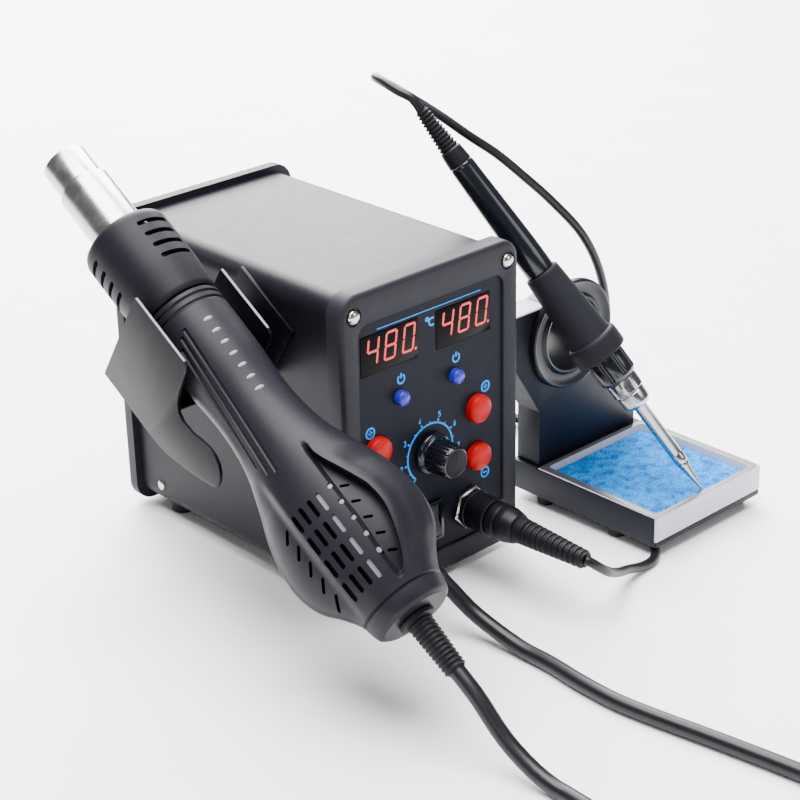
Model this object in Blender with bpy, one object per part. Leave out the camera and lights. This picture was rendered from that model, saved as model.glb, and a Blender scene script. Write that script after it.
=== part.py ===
"""Two-in-one rework station: control unit, hot air gun in its cradle, soldering iron and iron stand.

Lengths below are in millimetres and become metres when a mesh is made. The station is laid out on
a bench frame: X to the right, Y to the back, Z up, with x = 0 at the middle of the control unit,
y = 0 at its front face and z = 0 at the underside of its bezels. At the end everything moves together,
so that the middle of the footprint, cords apart, is the origin and the bench top is z = 0.
"""

import math

import bmesh
import bpy
from mathutils import Matrix, Vector

MM = 0.001
GAP = 0.3
TURN = 2 * math.pi

# Control unit
TABLE_Z = -3.0
UNIT_WIDTH = 111.0
UNIT_HEIGHT = 157.0
UNIT_MIDDLE_Z = UNIT_HEIGHT / 2
UNIT_DEPTH = 169.5
BEZEL_CORNER = 10.0
FRONT_BEZEL_DEPTH = 10.0
REAR_BEZEL_DEPTH = 7.0
CASE_INSET = 3.4
CASE_SHEET = 1.5
PANEL_WIDTH = 91.0
PANEL_BOTTOM = 12.5
PANEL_TOP = 141.5
PANEL_RECESS = 1.5
PANEL_SHEET = 2.0
FOOT_RADIUS = 6.5
FOOT_INSET = 16.0
SCREW_X = 48.0
SCREW_HIGH = 147.2
SCREW_LOW = 9.8

# Front panel controls, as (x, z)
DISPLAY_SIZE = (35.0, 19.2)
DISPLAYS = {"display_left": (-26.0, 125.8), "display_right": (20.3, 125.2)}
RED_RADIUS = 7.0
RED_BUTTONS = {
    "red_button_left_plus": (-35.5, 78.2),
    "red_button_left_minus": (-35.5, 53.2),
    "red_button_right_plus": (28.6, 78.2),
    "red_button_right_minus": (28.6, 53.2),
}
BLUE_RADIUS = 3.6
BLUE_BUTTONS = {"blue_button_left": (-20.3, 99.8), "blue_button_right": (14.5, 99.4)}
KNOB_CENTRE = (-1.8, 65.6)
SWITCH_CENTRE = (-2.6, 29.3)
SWITCH_SIZE = (15.0, 21.0)
SOCKET_CENTRE = (22.4, 28.4)
SOCKET_RADIUS = 7.8
GLAND_CENTRE = (-30.0, 26.0)
PLUG_SHELL_END = 32.8
PLUG_BOOT_END = 74.5

# Hot air gun: its own axis runs from the nozzle's mouth to the tail, with t along it
GUN_X = -90.0
GUN_MOUTH = (149.4, 194.0)
GUN_PITCH = math.radians(32.3)
GUN_ROLL = math.radians(41.0)
NOZZLE_RADIUS = 11.0
HEATER_TUBE_RADIUS = 12.7
GUARD_RADIUS = 21.0
HANDLE_WALL = 2.0
BOOT_SEAT = 6.6
BOOT_SEAT_T = 266.0
TAIL_T = 272.0
GUN_BOOT_LENGTH = 28.5
FAN_T = 230.0

# Cradle for the gun, in the gun's own t and height h over its axis
WALL_SHEET = 1.6
OUTER_WALL_X = -113.0
INNER_WALL_X = -67.0
CRADLE_FLOOR_H = -20.7
CRADLE_T = (89.0, 130.0)

# Iron stand
BASE_X = (89.0, 169.5)
BASE_Y = (-59.0, 36.0)
BASE_Z = (2.5, 18.0)
TRAY_Y = (-60.5, 17.0)
TRAY_RIM_Z = 19.0
UPRIGHT_Y = 19.3
UPRIGHT_SHEET = 1.8
UPRIGHT_TOP = 104.5
FUNNEL_CENTRE = (112.0, 86.0)
FUNNEL_RADIUS = 28.5

# Soldering iron: its own axis runs from the tip upwards to the cord
IRON_TIP = (129.4, -55.8, 18.2)
IRON_AXIS = (-0.3059, 0.5272, 0.7928)
IRON_BOOT_END = 233.2

# Cords. The first stretch of each runs straight on from what it leaves
CORD_LEAD = 1.5
GUN_CORD_RADIUS = 3.75
GUN_CORD_REST_Z = TABLE_Z + GUN_CORD_RADIUS
GUN_COIL_CENTRE = (-50.0, -304.0)
GUN_COIL_RADIUS = 41.0
IRON_CORD_RADIUS = 2.3
IRON_CORD_REST_Z = TABLE_Z + IRON_CORD_RADIUS
IRON_COIL_CENTRE = (125.0, 108.0)
IRON_COIL_RADIUS = 25.0

LOOKS = {
    "charcoal_paint": ((0.030, 0.030, 0.036), 0.55, 0.0),
    "dark_plastic": ((0.024, 0.025, 0.030), 0.50, 0.0),
    "grey_plastic": ((0.055, 0.055, 0.065), 0.60, 0.0),
    "panel_print": ((0.050, 0.055, 0.072), 0.60, 0.0),
    "rubber": ((0.018, 0.018, 0.021), 0.75, 0.0),
    "display_red": ((0.060, 0.004, 0.008), 0.15, 0.0),
    "red_rubber": ((0.75, 0.03, 0.05), 0.45, 0.0),
    "blue_rubber": ((0.12, 0.12, 0.55), 0.35, 0.0),
    "steel": ((0.62, 0.61, 0.60), 0.28, 1.0),
    "zinc": ((0.70, 0.68, 0.62), 0.30, 1.0),
    "copper": ((0.60, 0.30, 0.14), 0.40, 1.0),
    "board": ((0.02, 0.16, 0.08), 0.50, 0.0),
    "ceramic": ((0.80, 0.78, 0.72), 0.60, 0.0),
    "silver_paint": ((0.72, 0.72, 0.76), 0.35, 0.3),
    "sponge": ((0.10, 0.52, 0.85), 0.95, 0.0),
}

BENCH = "bench"
X_AXIS = Vector((1, 0, 0))
ON_CORDS = {"gun_cord_coil", "iron_cord_coil", "iron_plug_shell", "iron_plug_ring", "iron_plug_boot"}


def clear_scene():
    for obj in list(bpy.data.objects):
        bpy.data.objects.remove(obj, do_unlink=True)


def look(name):
    """The shared material of this name, made when it is first asked for."""
    found = bpy.data.materials.get(name)
    if found:
        return found
    colour, roughness, metallic = LOOKS[name]
    made = bpy.data.materials.new(name)
    made.use_nodes = True
    shader = made.node_tree.nodes["Principled BSDF"]
    shader.inputs["Base Color"].default_value = (*colour, 1.0)
    shader.inputs["Roughness"].default_value = roughness
    shader.inputs["Metallic"].default_value = metallic
    return made


def empty(name, place, parent=None):
    """A named axis or frame. place is in millimetres, in the parent's own frame."""
    made = bpy.data.objects.new(name, None)
    bpy.context.scene.collection.objects.link(made)
    made.parent = parent
    made.matrix_local = Matrix.Translation(place.translation * MM) @ place.to_3x3().to_4x4()
    return made


def add(name, shape, look_name, parent, at=(0, 0, 0), helper=False):
    """An object from a bmesh in millimetres, standing at a point of its parent's frame."""
    bmesh.ops.scale(shape, vec=(MM, MM, MM), verts=shape.verts)
    bmesh.ops.recalc_face_normals(shape, faces=shape.faces)
    mesh = bpy.data.meshes.new(name)
    shape.to_mesh(mesh)
    shape.free()
    mesh.materials.append(look(look_name))
    mesh.shade_smooth()
    mesh.set_sharp_from_angle(angle=math.radians(35))
    made = bpy.data.objects.new(name, mesh)
    bpy.context.scene.collection.objects.link(made)
    made.parent = parent
    made.location = Vector(at) * MM
    if helper:
        made.hide_render = True
        made.display_type = "WIRE"
    return made


def combine(obj, shape, operation):
    """Joins a shape to an object, or cuts it out of it, with a hidden helper in the same frame."""
    number = len(obj.modifiers)
    helper = add(f"{obj.name}_{operation.lower()}_{number}", shape, "steel", obj.parent, helper=True)
    helper.location = obj.location
    modifier = obj.modifiers.new(helper.name, "BOOLEAN")
    modifier.object = helper
    modifier.operation = operation
    return obj


def cut(obj, *shapes):
    return combine(obj, merged(shapes), "DIFFERENCE")


def weld(obj, *shapes):
    for shape in shapes:
        combine(obj, shape, "UNION")
    return obj


def merged(shapes):
    """One bmesh that holds several separate closed shapes."""
    whole = bmesh.new()
    for shape in shapes:
        bmesh.ops.recalc_face_normals(shape, faces=shape.faces)
        mesh = bpy.data.meshes.new("merged")
        shape.to_mesh(mesh)
        shape.free()
        whole.from_mesh(mesh)
        bpy.data.meshes.remove(mesh)
    return whole


def moved(shape, matrix):
    bmesh.ops.transform(shape, matrix=matrix, verts=shape.verts)
    return shape


def box(x, y, z):
    """A block between two values on each axis."""
    shape = bmesh.new()
    bmesh.ops.create_cube(shape, size=1)
    for vertex in shape.verts:
        for axis, (low, high) in enumerate((x, y, z)):
            vertex.co[axis] = (low + high) / 2 + vertex.co[axis] * (high - low)
    return shape


def loft(rings, closed=False):
    """Skins a list of rings with the same number of points, with caps unless it closes on itself."""
    shape = bmesh.new()
    made = [[shape.verts.new(point) for point in ring] for ring in rings]
    count = len(made[0])
    pairs = list(zip(made, made[1:]))
    if closed:
        pairs.append((made[-1], made[0]))
    for ring, following in pairs:
        for i in range(count):
            j = (i + 1) % count
            shape.faces.new((ring[i], ring[j], following[j], following[i]))
    if not closed:
        shape.faces.new(reversed(made[0]))
        shape.faces.new(made[-1])
    return shape


def prism(outline, low, high, plane="xz"):
    """Extrudes an outline. The plane's letters are the axes of its points; the third is extruded."""
    first, second = ("xyz".index(letter) for letter in plane)
    third = 3 - first - second

    def ring(level):
        points = []
        for a, b in outline:
            point = [0.0, 0.0, 0.0]
            point[first], point[second], point[third] = a, b, level
            points.append(point)
        return points

    return loft([ring(low), ring(high)])


def arc(centre, radius, start, end, steps):
    """Points of an arc, by angles in degrees, both ends included."""
    points = []
    for i in range(steps + 1):
        angle = math.radians(start + (end - start) * i / steps)
        points.append((centre[0] + radius * math.cos(angle), centre[1] + radius * math.sin(angle)))
    return points


def rounded(width, height, radius, centre=(0, 0), steps=4):
    """A rectangle's outline with round corners."""
    outline = []
    corners = ((1, 1, 0), (-1, 1, 90), (-1, -1, 180), (1, -1, 270))
    for side, level, start in corners:
        middle = (
            centre[0] + side * (width / 2 - radius),
            centre[1] + level * (height / 2 - radius),
        )
        outline += arc(middle, radius, start, start + 90, steps)
    return outline


def turned(profile, steps=24, start=0.0):
    """Turns (radius, height) points about Z. A profile that leaves the axis alone closes on itself."""
    solid = profile[0][0] == 0 and profile[-1][0] == 0
    shape = bmesh.new()
    rings = []
    for radius, height in profile:
        if radius == 0:
            rings.append([shape.verts.new((0, 0, height))])
            continue
        ring = []
        for i in range(steps):
            angle = start + TURN * i / steps
            ring.append(shape.verts.new((radius * math.cos(angle), radius * math.sin(angle), height)))
        rings.append(ring)
    pairs = list(zip(rings, rings[1:]))
    if not solid:
        pairs.append((rings[-1], rings[0]))
    for lower, upper in pairs:
        for i in range(steps):
            j = (i + 1) % steps
            corners = [lower[i % len(lower)], lower[j % len(lower)]]
            corners += [upper[j % len(upper)], upper[i % len(upper)]]
            shape.faces.new(list(dict.fromkeys(corners)))
    return shape


def facing_front(shape, x=0.0, z=0.0):
    """Turns a shape made along +Z so that its height runs out of the front panel, along -Y."""
    return moved(shape, Matrix.Translation((x, 0, z)) @ Matrix.Rotation(math.pi / 2, 4, "X"))


def ribbed(start, end, radius_start, radius_end, ribs, depth):
    """The outer profile of a tapered strain relief with round ribs."""
    profile = []
    pitch = (end - start) / ribs
    for i in range(ribs):
        radius = radius_start + (radius_end - radius_start) * i / max(ribs - 1, 1)
        at = start + i * pitch
        profile += [(radius, at), (radius, at + 0.55 * pitch)]
        profile += [(radius - depth, at + 0.6 * pitch), (radius - depth, at + 0.95 * pitch)]
    profile[-1] = (profile[-1][0], end)
    return profile


def smooth_route(points, spacing):
    """Even points on a smooth curve through a route's own points."""
    route = [Vector(point) for point in points]
    ends = [2 * route[0] - route[1]] + route + [2 * route[-1] - route[-2]]
    dense = []
    for before, start, end, after in zip(ends, ends[1:], ends[2:], ends[3:]):
        for i in range(24):
            u = i / 24
            dense.append(
                0.5
                * (
                    2 * start
                    + (end - before) * u
                    + (2 * before - 5 * start + 4 * end - after) * u**2
                    + (3 * start - before - 3 * end + after) * u**3
                )
            )
    dense.append(route[-1])
    lengths = [0.0]
    for a, b in zip(dense, dense[1:]):
        lengths.append(lengths[-1] + (b - a).length)
    count = max(2, round(lengths[-1] / spacing))
    even = []
    k = 0
    for i in range(count + 1):
        wanted = lengths[-1] * i / count
        while k < len(lengths) - 2 and lengths[k + 1] < wanted:
            k += 1
        share = (wanted - lengths[k]) / (lengths[k + 1] - lengths[k])
        even.append(dense[k].lerp(dense[k + 1], share))
    even.insert(1, even[0] + (dense[1] - dense[0]).normalized() * CORD_LEAD)
    return even


def cord(name, points, radius, sides):
    """A round cord along a smooth route."""
    curve = bpy.data.curves.new(name, "CURVE")
    curve.dimensions = "3D"
    curve.bevel_depth = radius * MM
    curve.bevel_resolution = sides
    curve.use_fill_caps = True
    route = smooth_route(points, 4 * radius)
    spline = curve.splines.new("POLY")
    spline.points.add(len(route) - 1)
    for point, place in zip(spline.points, route):
        point.co = (*(place * MM), 1.0)
    curve.materials.append(look("rubber"))
    made = bpy.data.objects.new(name, curve)
    bpy.context.scene.collection.objects.link(made)
    made.parent = bpy.data.objects[BENCH]
    return made


def coil(name, centre, radius, cord_radius, layers, bench):
    """The outer shape of a wound coil that lies on the bench."""
    inner = radius - 2.08 * cord_radius
    outer = radius + 2.08 * cord_radius
    top = TABLE_Z + (2 + 1.85 * (layers - 1)) * cord_radius
    soft = 0.6 * cord_radius
    profile = [(outer, TABLE_Z + soft), (outer, top - soft), (outer - soft, top), (inner + soft, top)]
    profile += [(inner, top - soft), (inner, TABLE_Z + soft)]
    profile += [(inner + soft, TABLE_Z), (outer - soft, TABLE_Z)]
    return add(name, turned(profile, 28), "rubber", bench, (*centre, 0))


# ---------------------------------------------------------------- control unit


def case_shell(bench):
    width = UNIT_WIDTH - 2 * CASE_INSET
    height = UNIT_HEIGHT - 2 * CASE_INSET
    outer = rounded(width, height, 9, (0, UNIT_MIDDLE_Z))
    inner = rounded(width - 2 * CASE_SHEET, height - 2 * CASE_SHEET, 7.5, (0, UNIT_MIDDLE_Z))
    front = FRONT_BEZEL_DEPTH + GAP
    rear = UNIT_DEPTH - REAR_BEZEL_DEPTH - GAP

    def ring(outline, y):
        return [(x, y, z) for x, z in outline]

    rings = [ring(outer, front), ring(outer, rear), ring(inner, rear), ring(inner, front)]
    add("case_shell", loft(rings, closed=True), "charcoal_paint", bench)


def bezel_rings(front, rear, chamfer):
    """Outer rings of a bezel whose front edge is chamfered, from front to rear."""
    rings = []
    for inset, y in ((chamfer, front), (0, front + chamfer * 0.8), (0, rear)):
        size = (UNIT_WIDTH - 2 * inset, UNIT_HEIGHT - 2 * inset)
        outline = rounded(*size, BEZEL_CORNER - inset * 0.6, (0, UNIT_MIDDLE_Z))
        rings.append([(x, y, z) for x, z in outline])
    return rings


def panel_outline(inset):
    height = PANEL_TOP - PANEL_BOTTOM
    centre = (0, (PANEL_TOP + PANEL_BOTTOM) / 2)
    return rounded(PANEL_WIDTH - 2 * inset, height - 2 * inset, 6 - inset, centre)


def front_bezel(bench):
    rings = bezel_rings(0, FRONT_BEZEL_DEPTH, 2.0)
    rings += [[(x, y, z) for x, z in panel_outline(0)] for y in (FRONT_BEZEL_DEPTH, 0)]
    made = add("front_bezel", loft(rings, closed=True), "charcoal_paint", bench)
    screws = []
    for x, z in screw_places():
        screws.append(facing_front(turned([(0, -7), (1.7, -7), (1.7, 1), (0, 1)], 12), x, z))
    cut(made, *screws)


def screw_places():
    return [(side * SCREW_X, z) for side in (-1, 1) for z in (SCREW_HIGH, SCREW_LOW)]


def front_screws(bench):
    for x, z in screw_places():
        side = "left" if x < 0 else "right"
        level = "top" if z > UNIT_MIDDLE_Z else "bottom"
        profile = [(0, -6.5), (1.35, -6.5), (1.35, 0.3), (3.3, 0.3), (3.2, 1.2), (2.2, 2.0), (0, 2.3)]
        made = add(f"front_screw_{level}_{side}", facing_front(turned(profile, 16)), "zinc", bench, (x, 0, z))
        slots = [box((-2.0, 2.0), (-2.6, -1.2), (-0.35, 0.35)), box((-0.35, 0.35), (-2.6, -1.2), (-2.0, 2.0))]
        for slot in slots:
            cut(made, slot)


def front_panel(bench):
    front = PANEL_RECESS
    outline = panel_outline(GAP)
    made = add("front_panel", prism(outline, front, front + PANEL_SHEET), "panel_print", bench)
    through = (front - 1, front + PANEL_SHEET + 1)
    width, height = DISPLAY_SIZE[0] + 2 * GAP, DISPLAY_SIZE[1] + 2 * GAP
    holes = []
    for x, z in DISPLAYS.values():
        holes.append(box((x - width / 2, x + width / 2), through, (z - height / 2, z + height / 2)))
    rounds = [(place, RED_RADIUS + GAP) for place in RED_BUTTONS.values()]
    rounds += [(place, BLUE_RADIUS + GAP) for place in BLUE_BUTTONS.values()]
    rounds += [(KNOB_CENTRE, 3.6), (SOCKET_CENTRE, SOCKET_RADIUS + GAP), (GLAND_CENTRE, 5.6)]
    for place, radius in rounds:
        holes.append(prism(arc(place, radius, 0, 342, 19), *through))
    x, z = SWITCH_CENTRE
    width, height = SWITCH_SIZE[0] - 2 + 2 * GAP, SWITCH_SIZE[1] - 2 + 2 * GAP
    holes.append(box((x - width / 2, x + width / 2), through, (z - height / 2, z + height / 2)))
    cut(made, *holes)


def rear_bezel(bench):
    rear = UNIT_DEPTH
    front = rear - REAR_BEZEL_DEPTH
    rings = bezel_rings(-rear, -front, 1.5)
    mirrored = [[(x, -y, z) for x, y, z in ring] for ring in rings]
    made = add("rear_bezel", loft(mirrored), "charcoal_paint", bench)
    inlet = box((-14.3, 14.3), (front - 1, rear + 1), (18.7, 41.3))
    vents = []
    for i in range(6):
        z = 86 + i * 8
        vents.append(prism(rounded(56, 3.2, 1.5, (0, z), 2), front - 1, rear + 1))
    cut(made, inlet, *vents)


def feet(bench):
    middle = UNIT_DEPTH / 2
    for side, x in (("left", -1), ("right", 1)):
        for end, y in (("front", -1), ("rear", 1)):
            place = (x * (UNIT_WIDTH / 2 - FOOT_INSET), middle + y * (middle - 24), 0)
            top = CASE_INSET - GAP
            profile = [(0, TABLE_Z), (FOOT_RADIUS - 1, TABLE_Z), (FOOT_RADIUS, TABLE_Z + 1.2)]
            profile += [(FOOT_RADIUS, top), (0, top)]
            add(f"unit_foot_{end}_{side}", turned(profile, 16), "rubber", bench, place)


def displays(bench):
    for name, (x, z) in DISPLAYS.items():
        width, height = DISPLAY_SIZE
        front = PANEL_RECESS - 0.3
        body = box((-width / 2, width / 2), (front, 9.0), (-height / 2, height / 2))
        add(name, body, "display_red", bench, (x, 0, z))


def boards(bench):
    board = box((-43, 43), (12.6, 14.2), (46, 136))
    add("control_board", board, "board", bench)
    low = CASE_INSET + CASE_SHEET
    power = add("power_board", box((-42, 42), (70, 156), (low + 4, low + 5.6)), "board", bench)
    posts = [box((x - 3, x + 3), (y - 3, y + 3), (low + GAP, low + 4.5)) for x in (-36, 36) for y in (76, 150)]
    weld(power, *posts)


def transformer(bench):
    low = CASE_INSET + CASE_SHEET + 5.6 + GAP
    core = box((-28, 28), (84, 112), (low, low + 46))
    made = add("transformer", core, "copper", bench)
    weld(made, box((-19, 19), (76, 120), (low + 8, low + 38)))


def iec_inlet(bench):
    rear = UNIT_DEPTH
    made = add("mains_inlet", box((-14, 14), (rear - 22, rear + 1), (19, 41)), "dark_plastic", bench)
    weld(made, prism(rounded(34, 28, 4, (0, 30)), rear + GAP, rear + 3.0))
    cut(made, prism(rounded(24, 16.5, 4, (0, 30)), rear - 15, rear + 4))
    pins = [box((x - 1, x + 1), (rear - 16, rear - 3), (28, 32)) for x in (-7, 0, 7)]
    weld(made, *pins)


def push_button(name, place, radius, dome, look_name, bench):
    """A round button with a domed cap and a flange that keeps it behind the panel."""
    back = PANEL_RECESS + PANEL_SHEET + GAP
    profile = [(0, -10.6), (radius - 1.2, -10.6), (radius - 1.2, -back - 1.6), (radius + 1.1, -back - 1.6)]
    profile += [(radius + 1.1, -back), (radius, -back), (radius, 1.0)]
    for i in range(1, 5):
        angle = math.radians(90 * i / 4)
        profile.append((radius * math.cos(angle) if i < 4 else 0, 1.0 + dome * math.sin(angle)))
    add(name, facing_front(turned(profile, 20)), look_name, bench, (place[0], 0, place[1]))


def buttons(bench):
    for name, place in RED_BUTTONS.items():
        push_button(name, place, RED_RADIUS, 3.0, "red_rubber", bench)
    for name, place in BLUE_BUTTONS.items():
        push_button(name, place, BLUE_RADIUS, 2.2, "blue_rubber", bench)


def airflow_control(bench):
    x, z = KNOB_CENTRE
    profile = [(0, -4.0), (2.9, -4.0), (2.9, -0.6), (10.4, -0.6), (10.4, 1.6), (8.6, 3.2), (8.0, 14.6)]
    profile += [(7.0, 16.0), (0, 16.0)]
    knob = add("airflow_knob", facing_front(turned(profile, 24)), "dark_plastic", bench, (x, 0, z))
    cut(knob, box((-0.7, 0.7), (-17, -3.6), (5.2, 11)))
    body = [(0, -12.0), (8.3, -12.0), (8.3, -4.4), (0, -4.4)]
    add("airflow_potentiometer", facing_front(turned(body, 20)), "zinc", bench, (x, 0, z))


def power_switch(bench):
    x, z = SWITCH_CENTRE
    width, height = SWITCH_SIZE
    front = PANEL_RECESS - GAP
    flange = prism(rounded(width, height, 1.5, (0, 0), 2), front - 1.8, front)
    housing = add("power_switch_housing", flange, "dark_plastic", bench, (x, 0, z))
    weld(housing, box((-width / 2 + 1, width / 2 - 1), (front - 0.5, 19), (-height / 2 + 1, height / 2 - 1)))
    cut(housing, box((-width / 2 + 1.9, width / 2 - 1.9), (-4, 10), (-height / 2 + 1.9, height / 2 - 1.9)))
    half = width / 2 - 1.9 - GAP
    profile = [(-1.9, -7.6), (-0.6, 0.0), (-1.9, 7.6), (2.2, 8.0), (6.0, 1.6), (6.0, -1.6), (2.2, -8.0)]
    axle = empty("power_switch_axle", Matrix.Translation((x, 1.5, z)), bench)
    rocker = add("power_switch_rocker", prism(profile, -half, half, "yz"), "dark_plastic", axle)
    rocker.rotation_euler = (math.radians(-10), 0, 0)


def iron_socket(bench):
    x, z = SOCKET_CENTRE
    back = -(PANEL_RECESS + PANEL_SHEET + GAP)
    profile = [(6.4, 5.6), (SOCKET_RADIUS, 5.6), (SOCKET_RADIUS, back), (9.6, back), (9.6, back - 2)]
    profile += [(7.2, back - 2), (7.2, -18), (0, -18)]
    solid = [(0, -1.0), (6.4, -1.0)] + profile
    add("iron_socket", facing_front(turned(solid, 20)), "zinc", bench, (x, 0, z))
    hexagon = turned([(0, -1.2), (11.0, -1.2), (11.0, 1.6), (0, 1.6)], 6, math.radians(12))
    made = add("iron_socket_nut", facing_front(hexagon), "zinc", bench, (x, 0, z))
    hole = [(0, -3), (SOCKET_RADIUS + GAP, -3), (SOCKET_RADIUS + GAP, 4), (0, 4)]
    cut(made, facing_front(turned(hole, 20)))


def iron_plug(bench):
    x, z = SOCKET_CENTRE
    end = PLUG_SHELL_END
    shell = [(0, -0.4), (6.0, -0.4), (6.0, 17.3), (8.4, 17.3), (8.8, 18.6), (8.8, 26)]
    shell += [(7.4, end - 0.8), (7.0, end), (0, end)]
    add("iron_plug_shell", facing_front(turned(shell, 20)), "rubber", bench, (x, 0, z))
    inner = SOCKET_RADIUS + GAP
    ring = [(inner, 2.2), (9.4, 2.2), (9.7, 3.0), (9.7, 16.0), (9.2, 17.0), (inner, 17.0)]
    add("iron_plug_ring", facing_front(turned(ring, 24)), "dark_plastic", bench, (x, 0, z))
    boot = [(0, end + GAP), (6.4, end + GAP), (6.2, end + 5)]
    boot += ribbed(end + 6, PLUG_BOOT_END, 6.2, 4.6, 9, 0.9)
    boot += [(0, PLUG_BOOT_END)]
    add("iron_plug_boot", facing_front(turned(boot, 14)), "rubber", bench, (x, 0, z))


def gun_cord_gland(bench):
    x, z = GLAND_CENTRE
    front = -PANEL_RECESS + GAP
    back = -(PANEL_RECESS + PANEL_SHEET + GAP)
    gland = [(0, back - 3), (8, back - 3), (8, back), (5.2, back), (5.2, front), (7.4, front), (7.4, 1.6)]
    gland += ribbed(1.7, 24, 6.2, 5.0, 6, 0.9)
    gland += [(0, 24)]
    add("gun_cord_gland", facing_front(turned(gland, 16)), "rubber", bench, (x, 0, z))


# ---------------------------------------------------------------- gun and cradle


def gun_frame():
    """X across the gun's face, Y out of its face, Z from the nozzle's mouth to the tail."""
    along = Vector((0, -math.cos(GUN_PITCH), -math.sin(GUN_PITCH)))
    up = Vector((0, -math.sin(GUN_PITCH), math.cos(GUN_PITCH)))
    face = up * math.cos(GUN_ROLL) - X_AXIS * math.sin(GUN_ROLL)
    across = X_AXIS * math.cos(GUN_ROLL) + up * math.sin(GUN_ROLL)
    frame = Matrix((across, face, along)).transposed().to_4x4()
    return Matrix.Translation((GUN_X, *GUN_MOUTH)) @ frame


def cradle_frame():
    """X as the bench's, Y up from the gun's axis, Z from the nozzle's mouth to the tail."""
    along = Vector((0, -math.cos(GUN_PITCH), -math.sin(GUN_PITCH)))
    up = Vector((0, -math.sin(GUN_PITCH), math.cos(GUN_PITCH)))
    frame = Matrix((-X_AXIS, up, along)).transposed().to_4x4()
    return Matrix.Translation((0, *GUN_MOUTH)) @ frame


def nozzle(gun):
    inner = HEATER_TUBE_RADIUS - 1.0
    tube = [(10.0, 0), (NOZZLE_RADIUS - 0.4, 0), (NOZZLE_RADIUS, 0.6), (NOZZLE_RADIUS, 16)]
    tube += [(HEATER_TUBE_RADIUS, 17.2), (HEATER_TUBE_RADIUS, 92), (inner, 92), (inner, 17.6), (10.0, 16.4)]
    add("nozzle_tube", turned(tube, 28), "steel", gun)
    core = [(0, 34), (8.6, 34), (8.6, 88), (0, 88)]
    add("heater_core", turned(core, 16), "ceramic", gun)


def guard_slots():
    """Short slots round the guard: two groups of four rows."""
    slots = []
    for middle in (-52, 128):
        for row in range(4):
            angle = math.radians(middle)
            block = box((-8.5, 8.5), (14, 26), (57 + row * 6.5, 59.4 + row * 6.5))
            slots.append(moved(block, Matrix.Rotation(angle, 4, "Z")))
    return slots


def heat_guard(gun):
    mouth = HEATER_TUBE_RADIUS + 0.6
    profile = [(mouth, 49.2), (17.5, 49.2), (20.2, 50.6), (GUARD_RADIUS, 53), (GUARD_RADIUS, 78)]
    profile += [(19.6, 96.4), (17.4, 96.4), (18.9, 78), (18.9, 54), (mouth, 51.6)]
    made = add("heat_guard", turned(profile, 28), "grey_plastic", gun)
    cut(made, *guard_slots())


def handle_sections():
    """(t, half width across, half depth) of the handle and fan housing, from guard to tail."""
    return [
        (96.8, 19.4, 19.4),
        (100.0, 19.4, 19.4),
        (131.0, 19.0, 18.4),
        (148.0, 18.0, 17.6),
        (163.0, 18.3, 17.8),
        (178.0, 20.6, 18.8),
        (193.0, 25.4, 20.4),
        (207.0, 30.6, 22.2),
        (220.0, 33.6, 23.4),
        (233.0, 34.2, 23.6),
        (245.0, 31.0, 23.0),
        (254.0, 24.5, 21.6),
        (261.0, 20.4, 20.0),
        (268.0, 18.8, 18.8),
        (TAIL_T, 17.6, 17.6),
    ]


def handle_half(name, side, gun):
    """One of the two shells that meet along the gun's middle plane."""
    steps = 9
    rings = []
    for t, *outer in handle_sections():
        inner = [BOOT_SEAT, BOOT_SEAT] if t > BOOT_SEAT_T else [half - HANDLE_WALL for half in outer]
        ring = []
        for (half_width, half_depth), order in ((outer, range(steps + 1)), (inner, range(steps, -1, -1))):
            for i in order:
                angle = math.pi * (i / steps - 0.5)
                ring.append((side * (half_width * math.cos(angle) + GAP / 2), half_depth * math.sin(angle), t))
        rings.append(ring)
    add(name, loft(rings), "grey_plastic", gun)


def fan(gun):
    """A radial impeller that turns about the gun's face direction."""
    blades = 11
    outline = []
    for i in range(blades):
        for share, radius in ((0.0, 9.0), (0.35, 9.0), (0.55, 20.5), (0.75, 20.5)):
            angle = TURN * (i + share) / blades
            outline.append((radius * math.cos(angle), radius * math.sin(angle)))
    axle = empty("fan_axle", Matrix.Translation((0, 0, FAN_T)), gun)
    add("fan_impeller", prism(outline, -7, 7), "dark_plastic", axle)


def gun_boot(gun):
    start = TAIL_T - 4
    profile = [(0, start), (6.2, start), (6.2, TAIL_T + 1.5), (5.8, TAIL_T + 2.5)]
    profile += ribbed(TAIL_T + 3, TAIL_T + GUN_BOOT_LENGTH, 5.9, 5.1, 9, 0.8)
    profile += [(0, TAIL_T + GUN_BOOT_LENGTH)]
    add("gun_boot", turned(profile, 14), "rubber", gun)


def hot_air_gun(bench):
    gun = empty("gun_axis", gun_frame(), bench)
    nozzle(gun)
    heat_guard(gun)
    handle_half("handle_shell_right", 1, gun)
    handle_half("handle_shell_left", -1, gun)
    fan(gun)
    gun_boot(gun)


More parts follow.
